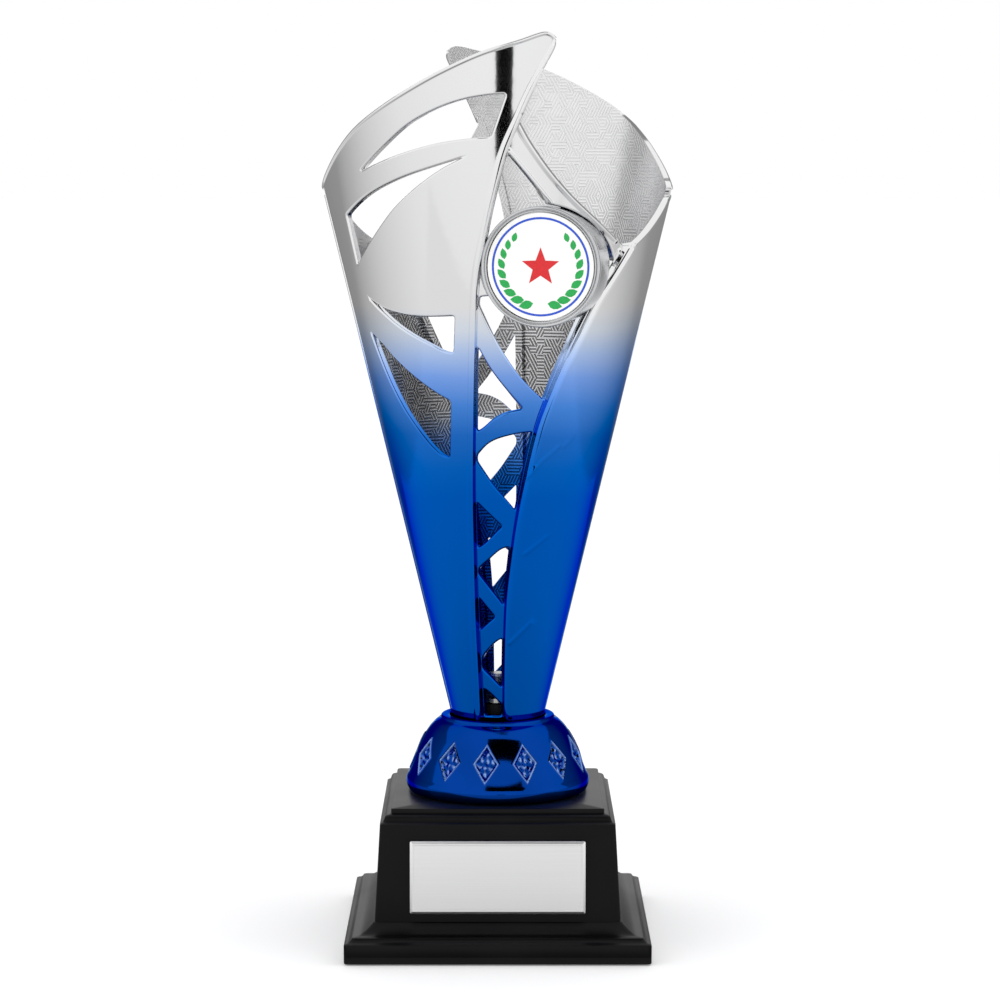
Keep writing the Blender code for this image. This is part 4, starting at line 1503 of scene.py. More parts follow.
def turn(profile: Sequence[Point], count: int) -> BMesh:
    """Turns a profile about Z.

    Args:
        profile: (radius, height) points, which begin and end at radius 0, in a pole.
        count: vertices round.

    Returns:
        The bmesh.
    """
    bm = bmesh.new()
    rings: list[Verts] = []
    for radius, height in profile:
        pole = radius == 0
        rings.append([bm.verts.new((0, 0, height))] if pole else ring(bm, radius, height, count))
    for lower, upper in zip(rings, rings[1:]):
        if len(lower) == 1 or len(upper) == 1:
            tip, other = (lower[0], upper) if len(lower) == 1 else (upper[0], lower)
            for i in range(count):
                bm.faces.new((tip, other[i], other[(i + 1) % count]))
        else:
            bridge(bm, lower, upper)
    return bm


def arc(cx: float, cz: float, radius: float, start: float, end: float, steps: int) -> Line:
    """Points along an arc in a profile.

    Args:
        cx: centre's radius.
        cz: centre's height.
        radius: the arc's radius.
        start: first angle in degrees.
        end: last angle in degrees.
        steps: how many spans.

    Returns:
        The points.
    """
    out = []
    for k in range(steps + 1):
        a = math.radians(start + (end - start) * k / steps)
        out.append((cx + radius * math.cos(a), cz + radius * math.sin(a)))
    return out


def rounded_box(half_x: float, half_y: float, corner: float, steps: int) -> Line:
    """Points round a rectangle with rounded corners.

    Args:
        half_x: half its width.
        half_y: half its height.
        corner: radius of its corners.
        steps: spans in each corner.

    Returns:
        The points, anticlockwise.
    """
    out: Line = []
    for k in range(4):
        cx = (half_x - corner) * (1 if k in (0, 3) else -1)
        cy = (half_y - corner) * (1 if k in (0, 1) else -1)
        out += arc(cx, cy, corner, 90 * k, 90 * k + 90, steps)
    return out


def prism(bm: BMesh, outline: Sequence[Point], height: float) -> None:
    """A flat shape given a thickness, from 0 up.

    Args:
        bm: the bmesh it goes into.
        outline: its points, anticlockwise.
        height: its thickness.
    """
    low = [bm.verts.new((x, y, 0)) for x, y in outline]
    high = [bm.verts.new((x, y, height)) for x, y in outline]
    bridge(bm, low, high)
    bm.faces.new(list(reversed(low)))
    bm.faces.new(high)


@dataclass
class Collar:
    """The bell-shaped collar with its ring of diamond recesses.

    Attributes:
        foot_z: height of its foot.
        height: its height.
        widest: largest radius.
        ring_r: outer radius of the top ring.
        pocket_r: radius of the pocket for the column's foot.
        pocket_h: depth of that pocket.
        bore_r: radius of the bolt's hole.
        wall: wall thickness.
        diamonds: how many.
        diamond_w: their width.
        diamond_h: their height along the wall.
        diamond_at: height of their centres over the foot.
        turn: turn in degrees of the one nearest the front.
        per: vertices round for each diamond.
        press: how deep the diamonds are.
        rim_h: height of the raised outline round each.
        facet_h: height of the facets inside.
    """

    foot_z: float = 36.0
    height: float = 18.4
    widest: float = 22.6
    ring_r: float = 14.0
    pocket_r: float = 11.8
    pocket_h: float = 5.8
    bore_r: float = 2.9
    wall: float = 2.0
    diamonds: int = 13
    diamond_w: float = 5.4
    diamond_h: float = 8.6
    diamond_at: float = 9.3
    turn: float = -8.3
    per: int = 44
    press: float = 0.55
    rim_h: float = 0.28
    facet_h: float = 0.13

    def outline(self) -> Line:
        """The outside, from the foot up, as (radius, height) points.

        Returns:
            The points, over the collar's foot.
        """
        span = self.widest - self.ring_r
        shape = [
            (0.90, 0.0), (0.93, 0.004), (0.975, 0.045), (1.00, 0.120), (0.985, 0.170),
            (0.93, 0.215), (0.81, 0.350), (0.70, 0.490), (0.58, 0.620), (0.44, 0.745),
            (0.31, 0.835), (0.17, 0.905),
        ]
        lower = [(self.ring_r + span * s, self.height * h) for s, h in shape]
        smooth = flow(lower, step=0.5)
        top = [
            (self.ring_r + 0.7, self.height * 0.938), (self.ring_r + 0.25, self.height * 0.945),
            (self.ring_r + 0.02, self.height * 0.958),
        ]
        lip = arc(self.ring_r - 0.45, self.height - 0.45, 0.45, 0, 90, 5)
        return smooth + top + lip

    def wall_at(self, height: float) -> tuple[float, float]:
        """The outer radius and the wall's lean in radians at a height over the foot.

        Args:
            height: the height.

        Returns:
            (radius, lean), the lean being 0 for an upright wall.
        """
        outline = self.outline()
        for (r0, h0), (r1, h1) in zip(outline, outline[1:]):
            if h0 <= height < h1:
                share = (height - h0) / (h1 - h0)
                return r0 + (r1 - r0) * share, math.atan2(r0 - r1, h1 - h0)
        return self.ring_r, 0.0

    def build(self, finish: Material) -> Object:
        """Builds the collar: a fine surface pressed in at each diamond.

        Args:
            finish: its material.

        Returns:
            The object.
        """
        outline = np.array(self.outline())
        lengths = np.concatenate([[0.0], np.cumsum(np.hypot(*np.diff(outline, axis=0).T))])
        centre = np.interp(self.diamond_at, outline[:, 1], lengths)
        middle_r = self.wall_at(self.diamond_at)[0]
        rows = np.arange(centre - 6, centre + 6, 0.22)  # over the diamonds' height and a bit more
        fine = np.unique(np.concatenate([lengths, rows]))
        profile = np.stack([np.interp(fine, lengths, outline[:, k]) for k in (0, 1)], axis=1)
        tangent = unit(np.gradient(profile, axis=0))
        normal = np.stack([tangent[:, 1], -tangent[:, 0]], axis=1)
        count = self.per * self.diamonds
        around = ((np.arange(count) % self.per) / self.per - 0.5) * TAU / self.diamonds * middle_r
        across, along = around[None, :], fine[:, None]
        reach = np.abs(across) / (self.diamond_w / 2) + np.abs(along - centre) / (self.diamond_h / 2)
        inside = np.clip((1.0 - reach) / 0.16, 0, 1)
        pressed = self.press * inside * inside * (3 - 2 * inside)
        rim = np.exp(-(((reach - 1.09) / 0.075) ** 2)) * self.rim_h
        # Cut facets in each recess, where two sets of flat folds cross.
        one = np.arcsin(np.sin(across * 2.6 + along * 1.5))
        two = np.arcsin(np.sin(along * 2.2 - across * 1.9))
        relief = rim - pressed + self.facet_h * inside * (one + two)
        # Paler raised outlines round each diamond, and painted glints: facets picked out paler in colour
        # as if they caught the light.
        paler = 0.75 * np.exp(-(((reach - 1.06) / 0.06) ** 2))
        glint = np.sin(across * 4.7 + along * 1.1)
        paler += 0.6 * inside * np.clip(one * two + 0.8 * glint - 0.3, 0, 1)
        start = math.radians(self.turn) - math.pi / 2 - math.pi / self.diamonds
        bm = bmesh.new()
        pale_share = bm.verts.layers.float.new(PALE_RIMS_AND_GLINTS)
        rings: list[Verts] = []
        for row, (r, z) in enumerate(profile):
            made = []
            for k in range(count):
                push = relief[row, k]
                rr = r + normal[row, 0] * push
                a = start + TAU * k / count
                spot = (rr * math.cos(a), rr * math.sin(a), z + normal[row, 1] * push)
                made.append(bm.verts.new(spot))
                made[-1][pale_share] = min(1.0, paler[row, k])
            rings.append(made)
        floor_top = self.height - self.pocket_h
        floor_low = floor_top - 2.0
        low_wall = self.wall_at(floor_low)[0] - self.wall
        back = (
            arc(self.pocket_r + 0.3, self.height - 0.3, 0.3, 90, 180, 3)
            + [
                (self.pocket_r, floor_top), (self.bore_r, floor_top), (self.bore_r, floor_low),
                (low_wall - 1.2, floor_low), (low_wall, floor_low - 1.2),
                (self.wall_at(floor_low * 0.55)[0] - self.wall, floor_low * 0.55),
                (profile[0][0] - self.wall, 0.0),
            ]
        )
        rings += [ring(bm, r, z, count, start) for r, z in back]
        for lower, upper in zip(rings, rings[1:] + rings[:1]):
            bridge(bm, lower, upper)
        return finish_mesh(bm, "Bell_Collar", [finish], Matrix.Translation((0, 0, self.foot_z)), 38)


@dataclass
class Plinth:
    """The two-tier square plinth.

    Attributes:
        foot_w: width of the lower tier.
        fascia_h: height of its vertical face.
        cove_h: height of the moulding over it.
        body_w: width of the upper tier at the bottom.
        neck_w: its width at the top.
        body_h: its height.
        crown_h: height of the top moulding.
        top_w: width of the top face.
        lift: height of its foot over the floor.
        wall: wall thickness.
        corner_r: radius of the upright corners.
        bore_r: radius of the bolt's hole.
        boss_r: radius of the boss round it.
        boss_z: height of the boss's end.
    """

    foot_w: float = 73.2
    fascia_h: float = 4.7
    cove_h: float = 4.0
    body_w: float = 59.0
    neck_w: float = 56.4
    body_h: float = 23.4
    crown_h: float = 3.3
    top_w: float = 51.2
    lift: float = 0.3
    wall: float = 2.2
    corner_r: float = 0.7
    bore_r: float = 2.9
    boss_r: float = 6.5
    boss_z: float = 9.7

    def lean(self) -> float:
        """How far the upper tier's faces lean back, in radians."""
        return math.atan2((self.body_w - self.neck_w) / 2, self.body_h)

    def outline(self) -> Line:
        """The outside from the foot up, as (half width, height) points.

        Returns:
            The points.
        """
        foot, body = self.foot_w / 2, self.body_w / 2
        neck, top = self.neck_w / 2, self.top_w / 2
        z0 = self.lift
        z1 = z0 + self.fascia_h
        z2 = z1 + self.cove_h
        z3 = z2 + self.body_h
        z4 = z3 + self.crown_h
        cove, crown = foot - body, neck - top
        lower = [
            (foot - 0.3, z0), (foot - 0.1, z0 + 0.08), (foot, z0 + 0.3), (foot, z1 - 0.3),
            (foot - 0.1, z1 - 0.1), (foot - 0.3, z1),
        ]
        lower += flow(
            [
                (foot - cove * 0.06, z1 + self.cove_h * 0.02),
                (foot - cove * 0.15, z1 + self.cove_h * 0.07),
                (foot - cove * 0.23, z1 + self.cove_h * 0.18),
                (foot - cove * 0.27, z1 + self.cove_h * 0.30),
            ],
            step=0.4,
        )
        curve = flow(
            [
                (foot - cove * 0.32, z1 + self.cove_h * 0.33),
                (foot - cove * 0.52, z1 + self.cove_h * 0.38),
                (foot - cove * 0.66, z1 + self.cove_h * 0.50),
                (foot - cove * 0.80, z1 + self.cove_h * 0.68),
                (foot - cove * 0.91, z1 + self.cove_h * 0.86),
                (body + cove * 0.03, z2 - 0.1),
            ],
            step=0.4,
        )
        wall = [(body, z2), (neck, z3)]
        cap = [
            (neck - crown * 0.28, z3 + self.crown_h * 0.11),
            (neck - crown * 0.33, z3 + self.crown_h * 0.20),
        ]
        cap += flow(
            [
                (neck - crown * 0.38, z3 + self.crown_h * 0.28),
                (neck - crown * 0.45, z3 + self.crown_h * 0.44),
                (neck - crown * 0.60, z3 + self.crown_h * 0.55),
                (neck - crown * 0.80, z3 + self.crown_h * 0.61),
                (neck - crown * 0.95, z3 + self.crown_h * 0.64),
            ],
            step=0.3,
        )
        lip = [(top, z3 + self.crown_h * 0.66), (top, z4 - 0.3), (top - 0.09, z4 - 0.09), (top - 0.3, z4)]
        return lower + curve + wall + cap + lip

    def build(self, finish: Material) -> Object:
        """Builds the plinth.

        Args:
            finish: its material.

        Returns:
            The object.
        """
        bm = bmesh.new()

        def loop(half: float, z: float, corner: float) -> Verts:
            """A square ring of vertices."""
            return [bm.verts.new((x, y, z)) for x, y in rounded_box(half, half, corner, 6)]

        rings = [loop(half, z, self.corner_r) for half, z in self.outline()]
        for lower, upper in zip(rings, rings[1:]):
            bridge(bm, lower, upper)
        top_z = self.lift + self.fascia_h + self.cove_h + self.body_h + self.crown_h
        ceiling = top_z - self.wall
        inside = [
            (self.foot_w / 2 - self.wall, self.lift),
            (self.foot_w / 2 - self.wall, self.lift + self.fascia_h - self.wall * 0.6),
            (self.body_w / 2 - self.wall, self.lift + self.fascia_h + self.cove_h - 1.3),
            (self.top_w / 2, ceiling),
        ]
        inner = [loop(half, z, self.corner_r / 2) for half, z in inside]
        for lower, upper in zip(inner, inner[1:]):
            bridge(bm, upper, lower)
        bridge(bm, inner[0], rings[0])
        count = len(rings[0])
        holes = [
            ring(bm, self.bore_r, top_z, count), ring(bm, self.bore_r, self.boss_z, count),
            ring(bm, self.boss_r, self.boss_z, count), ring(bm, self.boss_r, ceiling, count),
        ]
        for lower, upper in zip(holes, holes[1:]):
            bridge(bm, lower, upper)
        self.join(bm, rings[-1], holes[0])
        self.join(bm, inner[-1], holes[-1])
        return finish_mesh(bm, "Plinth_Shell", [finish], None, 28)

    @staticmethod
    def join(bm: BMesh, square: Verts, hole: Verts) -> None:
        """Joins a square ring to a round one of as many vertices, nearest first.

        Args:
            bm: the bmesh.
            square: the square ring.
            hole: the round ring.
        """
        size = len(square)
        aim = square[0].co.xy.normalized()
        first = min(range(size), key=lambda i: (hole[i].co.xy.normalized() - aim).length)
        turned = [hole[(first + i) % size] for i in range(size)]
        bridge(bm, square, turned)


@dataclass
class NamePlate:
    """The satin metal plate on the front of the plinth, left bare.

    Attributes:
        width: its width.
        height: its height.
        thick: its thickness.
        bevel: width of the bright bevelled border.
    """

    width: float = 42.0
    height: float = 17.5
    thick: float = 0.7
    bevel: float = 0.55

    def build(self, finish: Material, corners: Sequence[Sequence[float]], tilt: float) -> Object:
        """Builds the plate where the plain one is.

        Args:
            finish: its material.
            corners: lowest and highest corner of the plain plate, in metres.
            tilt: how far it leans back, in radians.

        Returns:
            The object.
        """
        low, high = [np.array(c) / MM for c in corners]
        bm = bmesh.new()
        levels = [
            (0.0, 0.08), (0.08, 0.0), (self.thick - 0.42, 0.0), (self.thick - 0.36, 0.04),
            (self.thick - 0.08, self.bevel - 0.1), (self.thick, self.bevel + 0.05),
            (self.thick, self.bevel + 0.35), (self.thick - 0.06, self.bevel + 0.42),
        ]
        rings = []
        for depth, inset in levels:
            half_x, half_z = self.width / 2 - inset, self.height / 2 - inset
            edge = rounded_box(half_x, half_z, max(0.15, 0.4 - inset), 3)
            rings.append([bm.verts.new((x, -depth, z)) for x, z in edge])
        for lower, upper in zip(rings, rings[1:]):
            bridge(bm, lower, upper)
        bm.faces.new(rings[0])
        bm.faces.new(rings[-1])
        middle_z = (low[2] + high[2]) / 2
        front = low[1] + (self.height / 2) * math.sin(tilt)
        back = front + self.thick * math.cos(tilt)
        place = Matrix.Translation((0, back, middle_z - self.thick / 2 * math.sin(tilt)))
        place = place @ Matrix.Rotation(-tilt, 4, "X")
        return finish_mesh(bm, "Name_Plate", [finish], place, 12)


@dataclass
class MedalHolder:
    """Builds the holder, the insert and the printed emblem of a medal.

    Attributes:
        medal: sizes and place of the medal.
        thick: thickness of the insert.
        sink: how far the insert lies behind the holder's lip.
        play: gap round the insert.
        behind: room for the adhesive behind the insert.
    """

    medal: Medal = field(default_factory=Medal)
    thick: float = 1.0
    sink: float = 0.4
    play: float = 0.2
    behind: float = 0.7

    def holder(self, finish: Material) -> Object:
        """Builds the holder: a cup with a rounded lip and a fine groove round the insert.

        Args:
            finish: its material.

        Returns:
            The object.
        """
        inner = self.medal.insert_d / 2 + self.play
        outer = self.medal.holder_d / 2
        seat = -(self.sink + self.thick + self.behind)
        groove = inner + 0.42
        crown = arc((inner + groove) / 2, -0.4, (groove - inner) / 2, 180, 0, 6)
        crown += [(groove + 0.03, -0.55), (groove + 0.1, -0.55)]
        wide = (outer - groove - 0.1) / 2
        for step in range(13):
            a = math.pi * step / 12
            crown.append((groove + 0.1 + wide * (1 - math.cos(a)), -0.4 + 0.4 * math.sin(a)))
        back = [
            (outer, -1.0), (outer - 0.12, -1.1), (outer - 0.12, -1.5), (outer, -1.6),
            (outer, -self.medal.depth + 0.3), (outer - 0.3, -self.medal.depth),
            (outer - 1.3, -self.medal.depth), (outer - 1.3, seat - 1.5), (0, seat - 1.5),
        ]
        profile = [(0, seat), (inner, seat)] + crown + back
        bm = turn(profile, 128)
        return finish_mesh(bm, "Medal_Holder", [finish], self.medal.frame(), 40)

    def insert(self, finish: Material) -> Object:
        """Builds the round insert with a slightly softened edge.

        Args:
            finish: its material.

        Returns:
            The object.
        """
        r = self.medal.insert_d / 2
        low = -(self.sink + self.thick)
        profile = [(0, low), (r - 0.1, low), (r, low + 0.1)]
        profile += arc(r - 0.18, -self.sink - 0.18, 0.18, 0, 90, 4)
        profile += [(r * 0.5, -self.sink), (0, -self.sink)]
        bm = turn(profile, 128)
        return finish_mesh(bm, "Medal_Insert", [finish], self.medal.frame(), 40)

    def emblem(self, star_m: Material, leaf_m: Material, line_m: Material) -> Object:
        """Builds the printed emblem: a plain star in a ring of leaves, laid out by nodes.

        Args:
            star_m: ink of the star.
            leaf_m: ink of the leaves.
            line_m: ink of the border line.

        Returns:
            The object.
        """
        return Wreath(self.medal, -self.sink + 0.02).build(star_m, leaf_m, line_m)


@dataclass
class Wreath:
    """Plain star, leaf ring and border line, as thin layers of ink.

    Attributes:
        medal: where it goes.
        level: height of the print over the holder's lip.
        leaves: leaves up each side.
        ring_r: radius of the ring of leaves.
        leaf: length of a leaf.
        lean: how far the leaves lean off the ring, in radians.
        star_r: radius of the star.
        line_r: radius of the border line.
        line_w: its width.
        ink: thickness of the print.
        first: angle of the lowest leaves from the bottom, in radians.
        apart: angle from one leaf to the next.
        smaller: how much smaller each leaf is than the one below it.
    """

    medal: Medal
    level: float
    leaves: int = 9
    ring_r: float = 8.6
    leaf: float = 3.3
    lean: float = 0.42
    star_r: float = 4.6
    line_r: float = 11.2
    line_w: float = 0.5
    ink: float = 0.02
    first: float = 0.2
    apart: float = 0.262
    smaller: float = 0.045

    def leaf_mesh(self, finish: Material) -> Object:
        """One leaf, its stalk at the origin and its tip along +Y.

        Args:
            finish: its ink.

        Returns:
            The object that the nodes repeat.
        """
        side = [(0.0, 0.0), (0.26, 0.22), (0.34, 0.45), (0.26, 0.72), (0.0, 1.0)]
        outline = side + [(-x, y) for x, y in reversed(side[1:-1])]
        bm = bmesh.new()
        prism(bm, [(x * self.leaf * 0.85, y * self.leaf) for x, y in outline], self.ink)
        return finish_mesh(bm, "leaf_pattern", [finish])

    def tree(self, leaf: Object, finish: Material) -> Tree:
        """The nodes that set leaves up both sides of a ring.

        Args:
            leaf: the leaf to repeat.
            finish: its ink.

        Returns:
            The node group.
        """
        group = bpy.data.node_groups.new("Leaf_Ring", "GeometryNodeTree")
        face = group.interface
        face.new_socket("Geometry", in_out="INPUT", socket_type="NodeSocketGeometry")
        for label in ("Radius", "Lean"):
            face.new_socket(label, in_out="INPUT", socket_type="NodeSocketFloat")
        face.new_socket("Leaves", in_out="INPUT", socket_type="NodeSocketInt")
        face.new_socket("Geometry", in_out="OUTPUT", socket_type="NodeSocketGeometry")
        enter = add(group, "NodeGroupInput")
        shape = add(group, "GeometryNodeObjectInfo", {"Object": leaf})
        join = add(group, "GeometryNodeJoinGeometry")
        for side in (1, -1):
            row = add(
                group,
                "GeometryNodeMeshLine",
                {"Count": enter.outputs["Leaves"], "Offset": (0.0, 0.0, 0.0)},
            )
            index = add(group, "GeometryNodeInputIndex")
            angle = add(
                group,
                "ShaderNodeMath",
                {0: index.outputs[0], 1: side * self.apart, 2: side * self.first - math.pi / 2},
                operation="MULTIPLY_ADD",
            )
            cos = add(group, "ShaderNodeMath", {0: angle.outputs[0]}, operation="COSINE")
            sin = add(group, "ShaderNodeMath", {0: angle.outputs[0]}, operation="SINE")
            ray = add(group, "ShaderNodeCombineXYZ", {"X": cos.outputs[0], "Y": sin.outputs[0]})
            spot = add(
                group,
                "ShaderNodeVectorMath",
                {0: ray.outputs[0], "Scale": enter.outputs["Radius"]},
                operation="SCALE",
            )
            moved = add(
                group,
                "GeometryNodeSetPosition",
                {"Geometry": row.outputs["Mesh"], "Position": spot.outputs[0]},
            )
            lean = add(
                group,
                "ShaderNodeMath",
                {0: enter.outputs["Lean"], 1: -side, 2: 0.0 if side > 0 else math.pi},
                operation="MULTIPLY_ADD",
            )
            aim = add(group, "ShaderNodeMath", {0: angle.outputs[0], 1: lean.outputs[0]})
            spin = add(group, "ShaderNodeCombineXYZ", {"Z": aim.outputs[0]})
            size = add(
                group,
                "ShaderNodeMath",
                {0: index.outputs[0], 1: -self.smaller, 2: 1.05},
                operation="MULTIPLY_ADD",
            )
            copies = add(
                group,
                "GeometryNodeInstanceOnPoints",
                {
                    "Points": moved.outputs[0],
                    "Instance": shape.outputs["Geometry"],
                    "Rotation": spin.outputs[0],
                    "Scale": size.outputs[0],
                },
            )
            group.links.new(copies.outputs[0], join.inputs[0])
        real = add(group, "GeometryNodeRealizeInstances", {0: join.outputs[0]})
        paint = add(group, "GeometryNodeSetMaterial", {"Geometry": real.outputs[0], "Material": finish})
        add(group, "NodeGroupOutput", {0: paint.outputs[0]})
        return group

    def build(self, star_m: Material, leaf_m: Material, line_m: Material) -> Object:
        """Builds the emblem as one mesh with three inks.

        Args:
            star_m: ink of the star.
            leaf_m: ink of the leaves.
            line_m: ink of the border line.

        Returns:
            The object.
        """
        leaf = self.leaf_mesh(leaf_m)
        holder = object_from(bpy.data.meshes.new("leaf_host"), "leaf_host")
        modifier = holder.modifiers.new("leaves", "NODES")
        group = self.tree(leaf, leaf_m)
        modifier.node_group = group
        wanted = {"Radius": self.ring_r * MM, "Lean": self.lean, "Leaves": self.leaves}
        for item in group.interface.items_tree:
            if item.name in wanted:
                modifier[item.identifier] = wanted[item.name]
        bpy.context.view_layer.update()
        graph = bpy.context.evaluated_depsgraph_get()
        ring_mesh = bpy.data.meshes.new_from_object(holder.evaluated_get(graph))
        for helper in (holder, leaf):
            bpy.data.objects.remove(helper, do_unlink=True)
        bm = bmesh.new()
        bm.from_mesh(ring_mesh)
        bmesh.ops.scale(bm, vec=(1 / MM,) * 3, verts=bm.verts)
        for face in bm.faces:
            face.material_index = 1
        star: Line = []
        for k in range(10):
            r = self.star_r * (1.0 if k % 2 == 0 else 0.42)
            a = math.pi / 2 + k * math.pi / 5
            star.append((r * math.cos(a), r * math.sin(a) - 0.1))
        prism(bm, star, self.ink)
        inside, outside = self.line_r - self.line_w / 2, self.line_r + self.line_w / 2
        section = ((inside, 0.0), (outside, 0.0), (outside, self.ink), (inside, self.ink))
        rings = [ring(bm, radius, height, 96) for radius, height in section]
        before = len(bm.faces)
        for lower, upper in zip(rings, rings[1:] + rings[:1]):
            bridge(bm, lower, upper)
        bm.faces.ensure_lookup_table()
        for face in bm.faces[before:]:
            face.material_index = 2
        place = self.medal.frame() @ Matrix.Translation((0, 0, self.level))
        bmesh.ops.transform(bm, matrix=place, verts=bm.verts)
        bmesh.ops.scale(bm, vec=(MM,) * 3, verts=bm.verts)
        mesh = bpy.data.meshes.new("Medal_Emblem")
        bm.to_mesh(mesh)
        bm.free()
        for ink in (star_m, leaf_m, line_m):
            mesh.materials.append(ink)
        return object_from(mesh, "Medal_Emblem")


# ---------------------------------------------------------------------------
# Studio
# ---------------------------------------------------------------------------


@dataclass
class Studio:
    """Pale floor, soft light and the camera.

    Attributes:
        camera_y: distance of the camera in front of the trophy, in metres.
        camera_z: its height, in metres.
        pitch: degrees that it looks down.
        focal: focal length over sensor width.
        shift: small sideways shift of the frame.
    """

    camera_y: float = 0.774
    camera_z: float = 0.1909
    pitch: float = 6.16
    focal: float = 3.174
    shift: float = 0.0023

    def sheet(self, name: str, corners: Sequence[Point3], material: Material) -> Object:
        """A flat four-sided sheet that belongs to the studio.

        Args:
            name: its name.
            corners: its corners, in metres.
            material: its material.

        Returns:
            The object.
        """
        bm = bmesh.new()
        bm.faces.new([bm.verts.new(c) for c in corners])
        mesh = bpy.data.meshes.new(name)
        bm.to_mesh(mesh)
        bm.free()
        mesh.materials.append(material)
        obj = object_from(mesh, name)
        return obj

    def floor(self) -> None:
        """A wide pale floor that runs off to the horizon."""
        material, tree, shader = new_material("Pale studio floor")
        white = linear("#FFFFFF")
        fill(
            tree,
            shader,
            {
                "Base Color": (0.92, 0.92, 0.92, 1),
                "Roughness": 0.8,
                "Specular IOR Level": 0.2,
                "Emission Color": white,
                "Emission Strength": 0.12,
            },
        )
        self.sheet("Studio_Floor", self.level_square(14.0, 0.0), material)

    @staticmethod
    def level_square(half: float, height: float) -> list[Point3]:
        """Corners of a level square round the trophy, in metres.

        Args:
            half: half its width.
            height: its height over the floor.

        Returns:
            The corners.
        """
        return [(x * half, y * half, height) for x, y in ((-1, -1), (1, -1), (1, 1), (-1, 1))]

    def world(self) -> None:
        """Even white surroundings."""
        world = bpy.data.worlds.new("Studio")
        bpy.context.scene.world = world
        world.use_nodes = True
        back = world.node_tree.nodes["Background"]
        fill(world.node_tree, back, {"Color": linear("#FFFFFF"), "Strength": 1.0})

    def lamp(self, name: str, spot: Point3, size: Point, power: float, aim: Point3) -> None:
        """A soft area light.

        Args:
            name: its name.
            spot: where it stands, in metres.
            size: width and height, in metres.
            power: watts.
            aim: what it points at.
        """
        data = bpy.data.lights.new(name, "AREA")
        data.shape = "RECTANGLE"
        data.size, data.size_y = size
        data.energy = power
        obj = bpy.data.objects.new(name, data)
        bpy.context.scene.collection.objects.link(obj)
        obj.location = spot
        way = Vector(aim) - Vector(spot)
        obj.rotation_euler = way.to_track_quat("-Z", "Y").to_euler()
        obj.visible_glossy = False

    def card(
        self, name: str, corners: Sequence[Point3], shades: Stops, centre: Point3 = (0.0, 0.0, 0.0)
    ) -> None:
        """A glowing card that only polished surfaces see: a painted reflection, shaded by distance from a
        point.

        Args:
            name: its name.
            corners: its corners, in metres.
            shades: (distance in metres, hex colour) pairs in order.
            centre: where the distance is taken from, in metres.
        """
        material, tree, shader = new_material(name + " card")
        place = add(tree, "ShaderNodeTexCoord")
        away = add(
            tree, "ShaderNodeVectorMath", {0: place.outputs["Object"], 1: centre}, operation="DISTANCE"
        )
        reach = shades[-1][0]
        share = add(
            tree, "ShaderNodeMath", {0: away.outputs["Value"], 1: 1 / reach}, operation="MULTIPLY"
        )
        stops = [(d / reach, colour) for d, colour in shades]
        glow = add(tree, "ShaderNodeValToRGB", {"Fac": share.outputs[0]}, stops)
        fill(
            tree,
            shader,
            {
                "Base Color": linear("#000000"),
                "Specular IOR Level": 0.0,
                "Emission Color": glow.outputs["Color"],
                "Emission Strength": 1.0,
            },
        )
        obj = self.sheet(name, corners, material)
        obj.visible_camera = False
        obj.visible_diffuse = False
        obj.visible_shadow = False

    def camera(self) -> None:
        """The camera at eye level in front of the trophy."""
        data = bpy.data.cameras.new("Camera")
        data.sensor_width = 36.0
        data.lens = 36.0 * self.focal
        data.shift_x = self.shift
        data.clip_end = 60.0
        obj = bpy.data.objects.new("Camera", data)
        bpy.context.scene.collection.objects.link(obj)
        obj.location = (0.0, -self.camera_y, self.camera_z)
        obj.rotation_euler = (math.radians(90 - self.pitch), 0.0, 0.0)
        bpy.context.scene.camera = obj

    def build(self) -> None:
        """Sets up the floor, the lights, the cards and the camera."""
        bpy.context.scene.view_settings.view_transform = "Standard"
        self.camera()
        self.world()
        self.floor()
        self.lamp("Key_Left", (-0.9, -0.55, 0.55), (0.5, 0.9), 1.5, (0, 0, 0.12))
        self.lamp("Key_Right", (0.95, -0.35, 0.5), (0.5, 0.9), 1.5, (0, 0, 0.12))
        # Painted reflection: a floor that greys towards the trophy's foot, seen only in polished
        # surfaces; the floor the camera sees stays pale.
        near = ((0.05, "#909090"), (0.09, "#C4C4C4"), (0.16, "#DCDCDC"), (0.30, "#ECECEC"))
        self.card("Floor_Near", self.level_square(0.3, 0.002), near)
        # Painted reflections: glowing sheets seen only in polished surfaces, so that in reflections the
        # room is white in front and falls off to grey beside and behind.
        ahead = (0.0, -3.0, 0.0)
        fall_off = (
            (2.45, "#FFFFFF"), (2.78, "#F2F2F2"), (3.04, "#DADADA"), (3.28, "#BEBEBE"),
            (3.60, "#9C9C9C"), (3.91, "#8A8A8A"),
        )
        self.card("Floor_Far", self.level_square(1.3, 0.001), fall_off, ahead)
        for side, name in ((-1, "Wall_Left"), (1, "Wall_Right")):
            foot = [(side * 0.25, 0.9, 0.0), (side * 1.3, 0.15, 0.0)]
            top = [(x, y, 0.8) for x, y, _ in reversed(foot)]
            self.card(name, foot + top, fall_off, ahead)
        # Painted reflections: black sheets seen only in polished surfaces, one on the floor in front that
        # lays a dark streak down the front panel, one overhead that darkens the collar's top.
        self.card(
            "Dark_Gap",
            [(x, y, 0.004) for x, y in ((-0.01, -0.33), (0.05, -0.33), (0.11, -0.75), (-0.01, -0.75))],
            ((0.0, "#020202"), (1.0, "#040404")),
        )
        self.card(
            "Dark_Above",
            [(x, y, 0.9) for x, y in ((-0.35, -1.2), (0.8, -1.2), (0.5, -0.45), (-0.2, -0.45))],
            ((0.0, "#020202"), (2.0, "#040404")),
        )


# ---------------------------------------------------------------------------
# The trophy
# ---------------------------------------------------------------------------


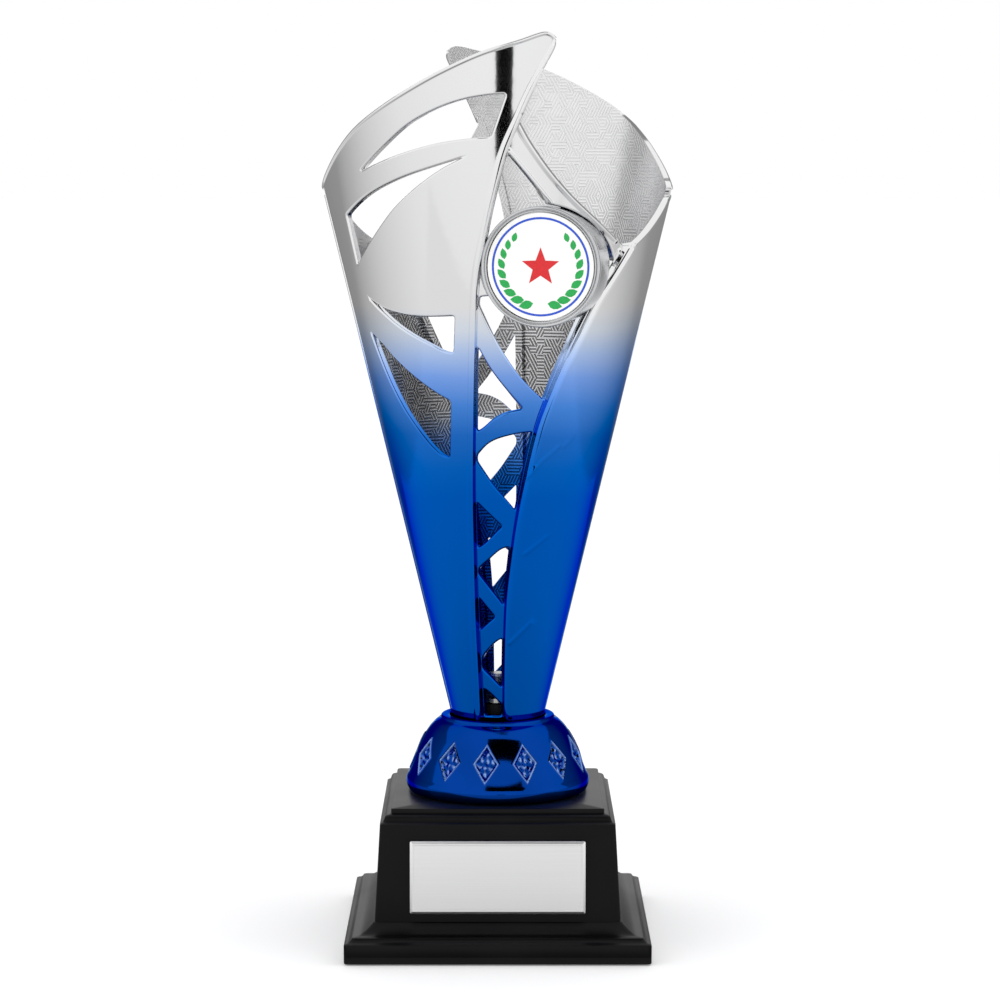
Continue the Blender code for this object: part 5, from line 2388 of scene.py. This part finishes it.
class Trophy:
    """All the visible pieces, built from the frame's own places."""

    def dress_cad(self) -> None:
        """Gives the hidden fastenings and pads their finishes."""
        foam = MouldedBlack("Closed-cell EVA foam", "#141414", "#1E1E1E", 0.85, 0.9).build()
        nylon = MouldedBlack("Moulded black nylon", "#0F0F10", "#1A1A1B", 0.5, 0.5).build()
        zinc = Metal("Zinc-plated steel", "#A8A9A4", "#C4C5C0", 0.3, (900.0, 900.0, 250.0)).build()
        steel = Metal("Hot-rolled steel plate", "#55565A", "#6E6F72", 0.5, (300, 60, 300)).build()
        tape = Film("Acrylic foam tape", "#CFCFC8", "#DEDED8", 0.7, 0.4).build()
        finishes = {
            "base_pad": foam, "column_plug": nylon, "tie_bolt": zinc, "hex_nut": zinc,
            "lower_washer": zinc, "upper_washer": zinc, "ballast_plate": steel,
            "plate_adhesive": tape, "medal_adhesive": tape,
        }
        for name, material in finishes.items():
            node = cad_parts[name]
            for slot in node.material_slots:
                slot.material = material
            LOG.info("%s: dressed", name)

    def build(self) -> None:
        """Builds every piece in order, from the floor up."""
        self.dress_cad()
        black = MouldedBlack("Satin black moulded ABS").build()
        plinth = Plinth()
        deliver(plinth.build(black), ["plinth_shell"])
        satin = Metal(
            "Satin anodised aluminium", "#F7F7F7", "#FAFAFA", 0.36, (30.0, 900.0, 3600.0), 0.008
        ).build()
        plate = NamePlate().build(satin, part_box("name_plate"), plinth.lean())
        deliver(plate, ["name_plate"])
        blue = GlossBlueLacquer().build()
        deliver(Collar().build(blue), ["foot_collar"])
        outside = MetallisedPlastic("Metallised ABS, blue fade").build()
        inside = MetallisedPlastic("Metallised ABS, barred relief", Face.INNER, 105.0, 128.0).build()
        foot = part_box("front_shell")[0][2] / MM
        for name, rear in (("Front_Shell", False), ("Rear_Shell", True)):
            shell = Shell(rear, foot_z=foot)
            node = "back_shell" if rear else "front_shell"
            deliver(shell.build(name, outside, inside), [node])
        silver = Metal(
            "Metallised ABS, bare", "#C6C7C9", "#D2D3D4", 0.16, (60.0, 60.0, 60.0), 0.01
        ).build()
        white = Film("Printed white vinyl", "#F0F0EE", "#F8F8F7", 0.3, 0.6).build()
        red = Film("Red ink", "#C8141C", "#D8181F", 0.3, 0.4).build()
        green = Film("Green ink", "#0C9A44", "#10A84C", 0.3, 0.4).build()
        navy = Film("Blue ink", "#1546B8", "#1A50CC", 0.3, 0.4).build()
        medal = MedalHolder()
        deliver(medal.holder(silver), ["medal_bezel"])
        deliver(medal.insert(white), ["medal_disc"])
        deliver(medal.emblem(red, green, navy))


def main() -> None:
    """Builds the trophy and its studio."""
    logging.basicConfig(level=logging.INFO, format="%(message)s")
    Studio().build()
    Trophy().build()


if __name__ == "__main__":
    main()
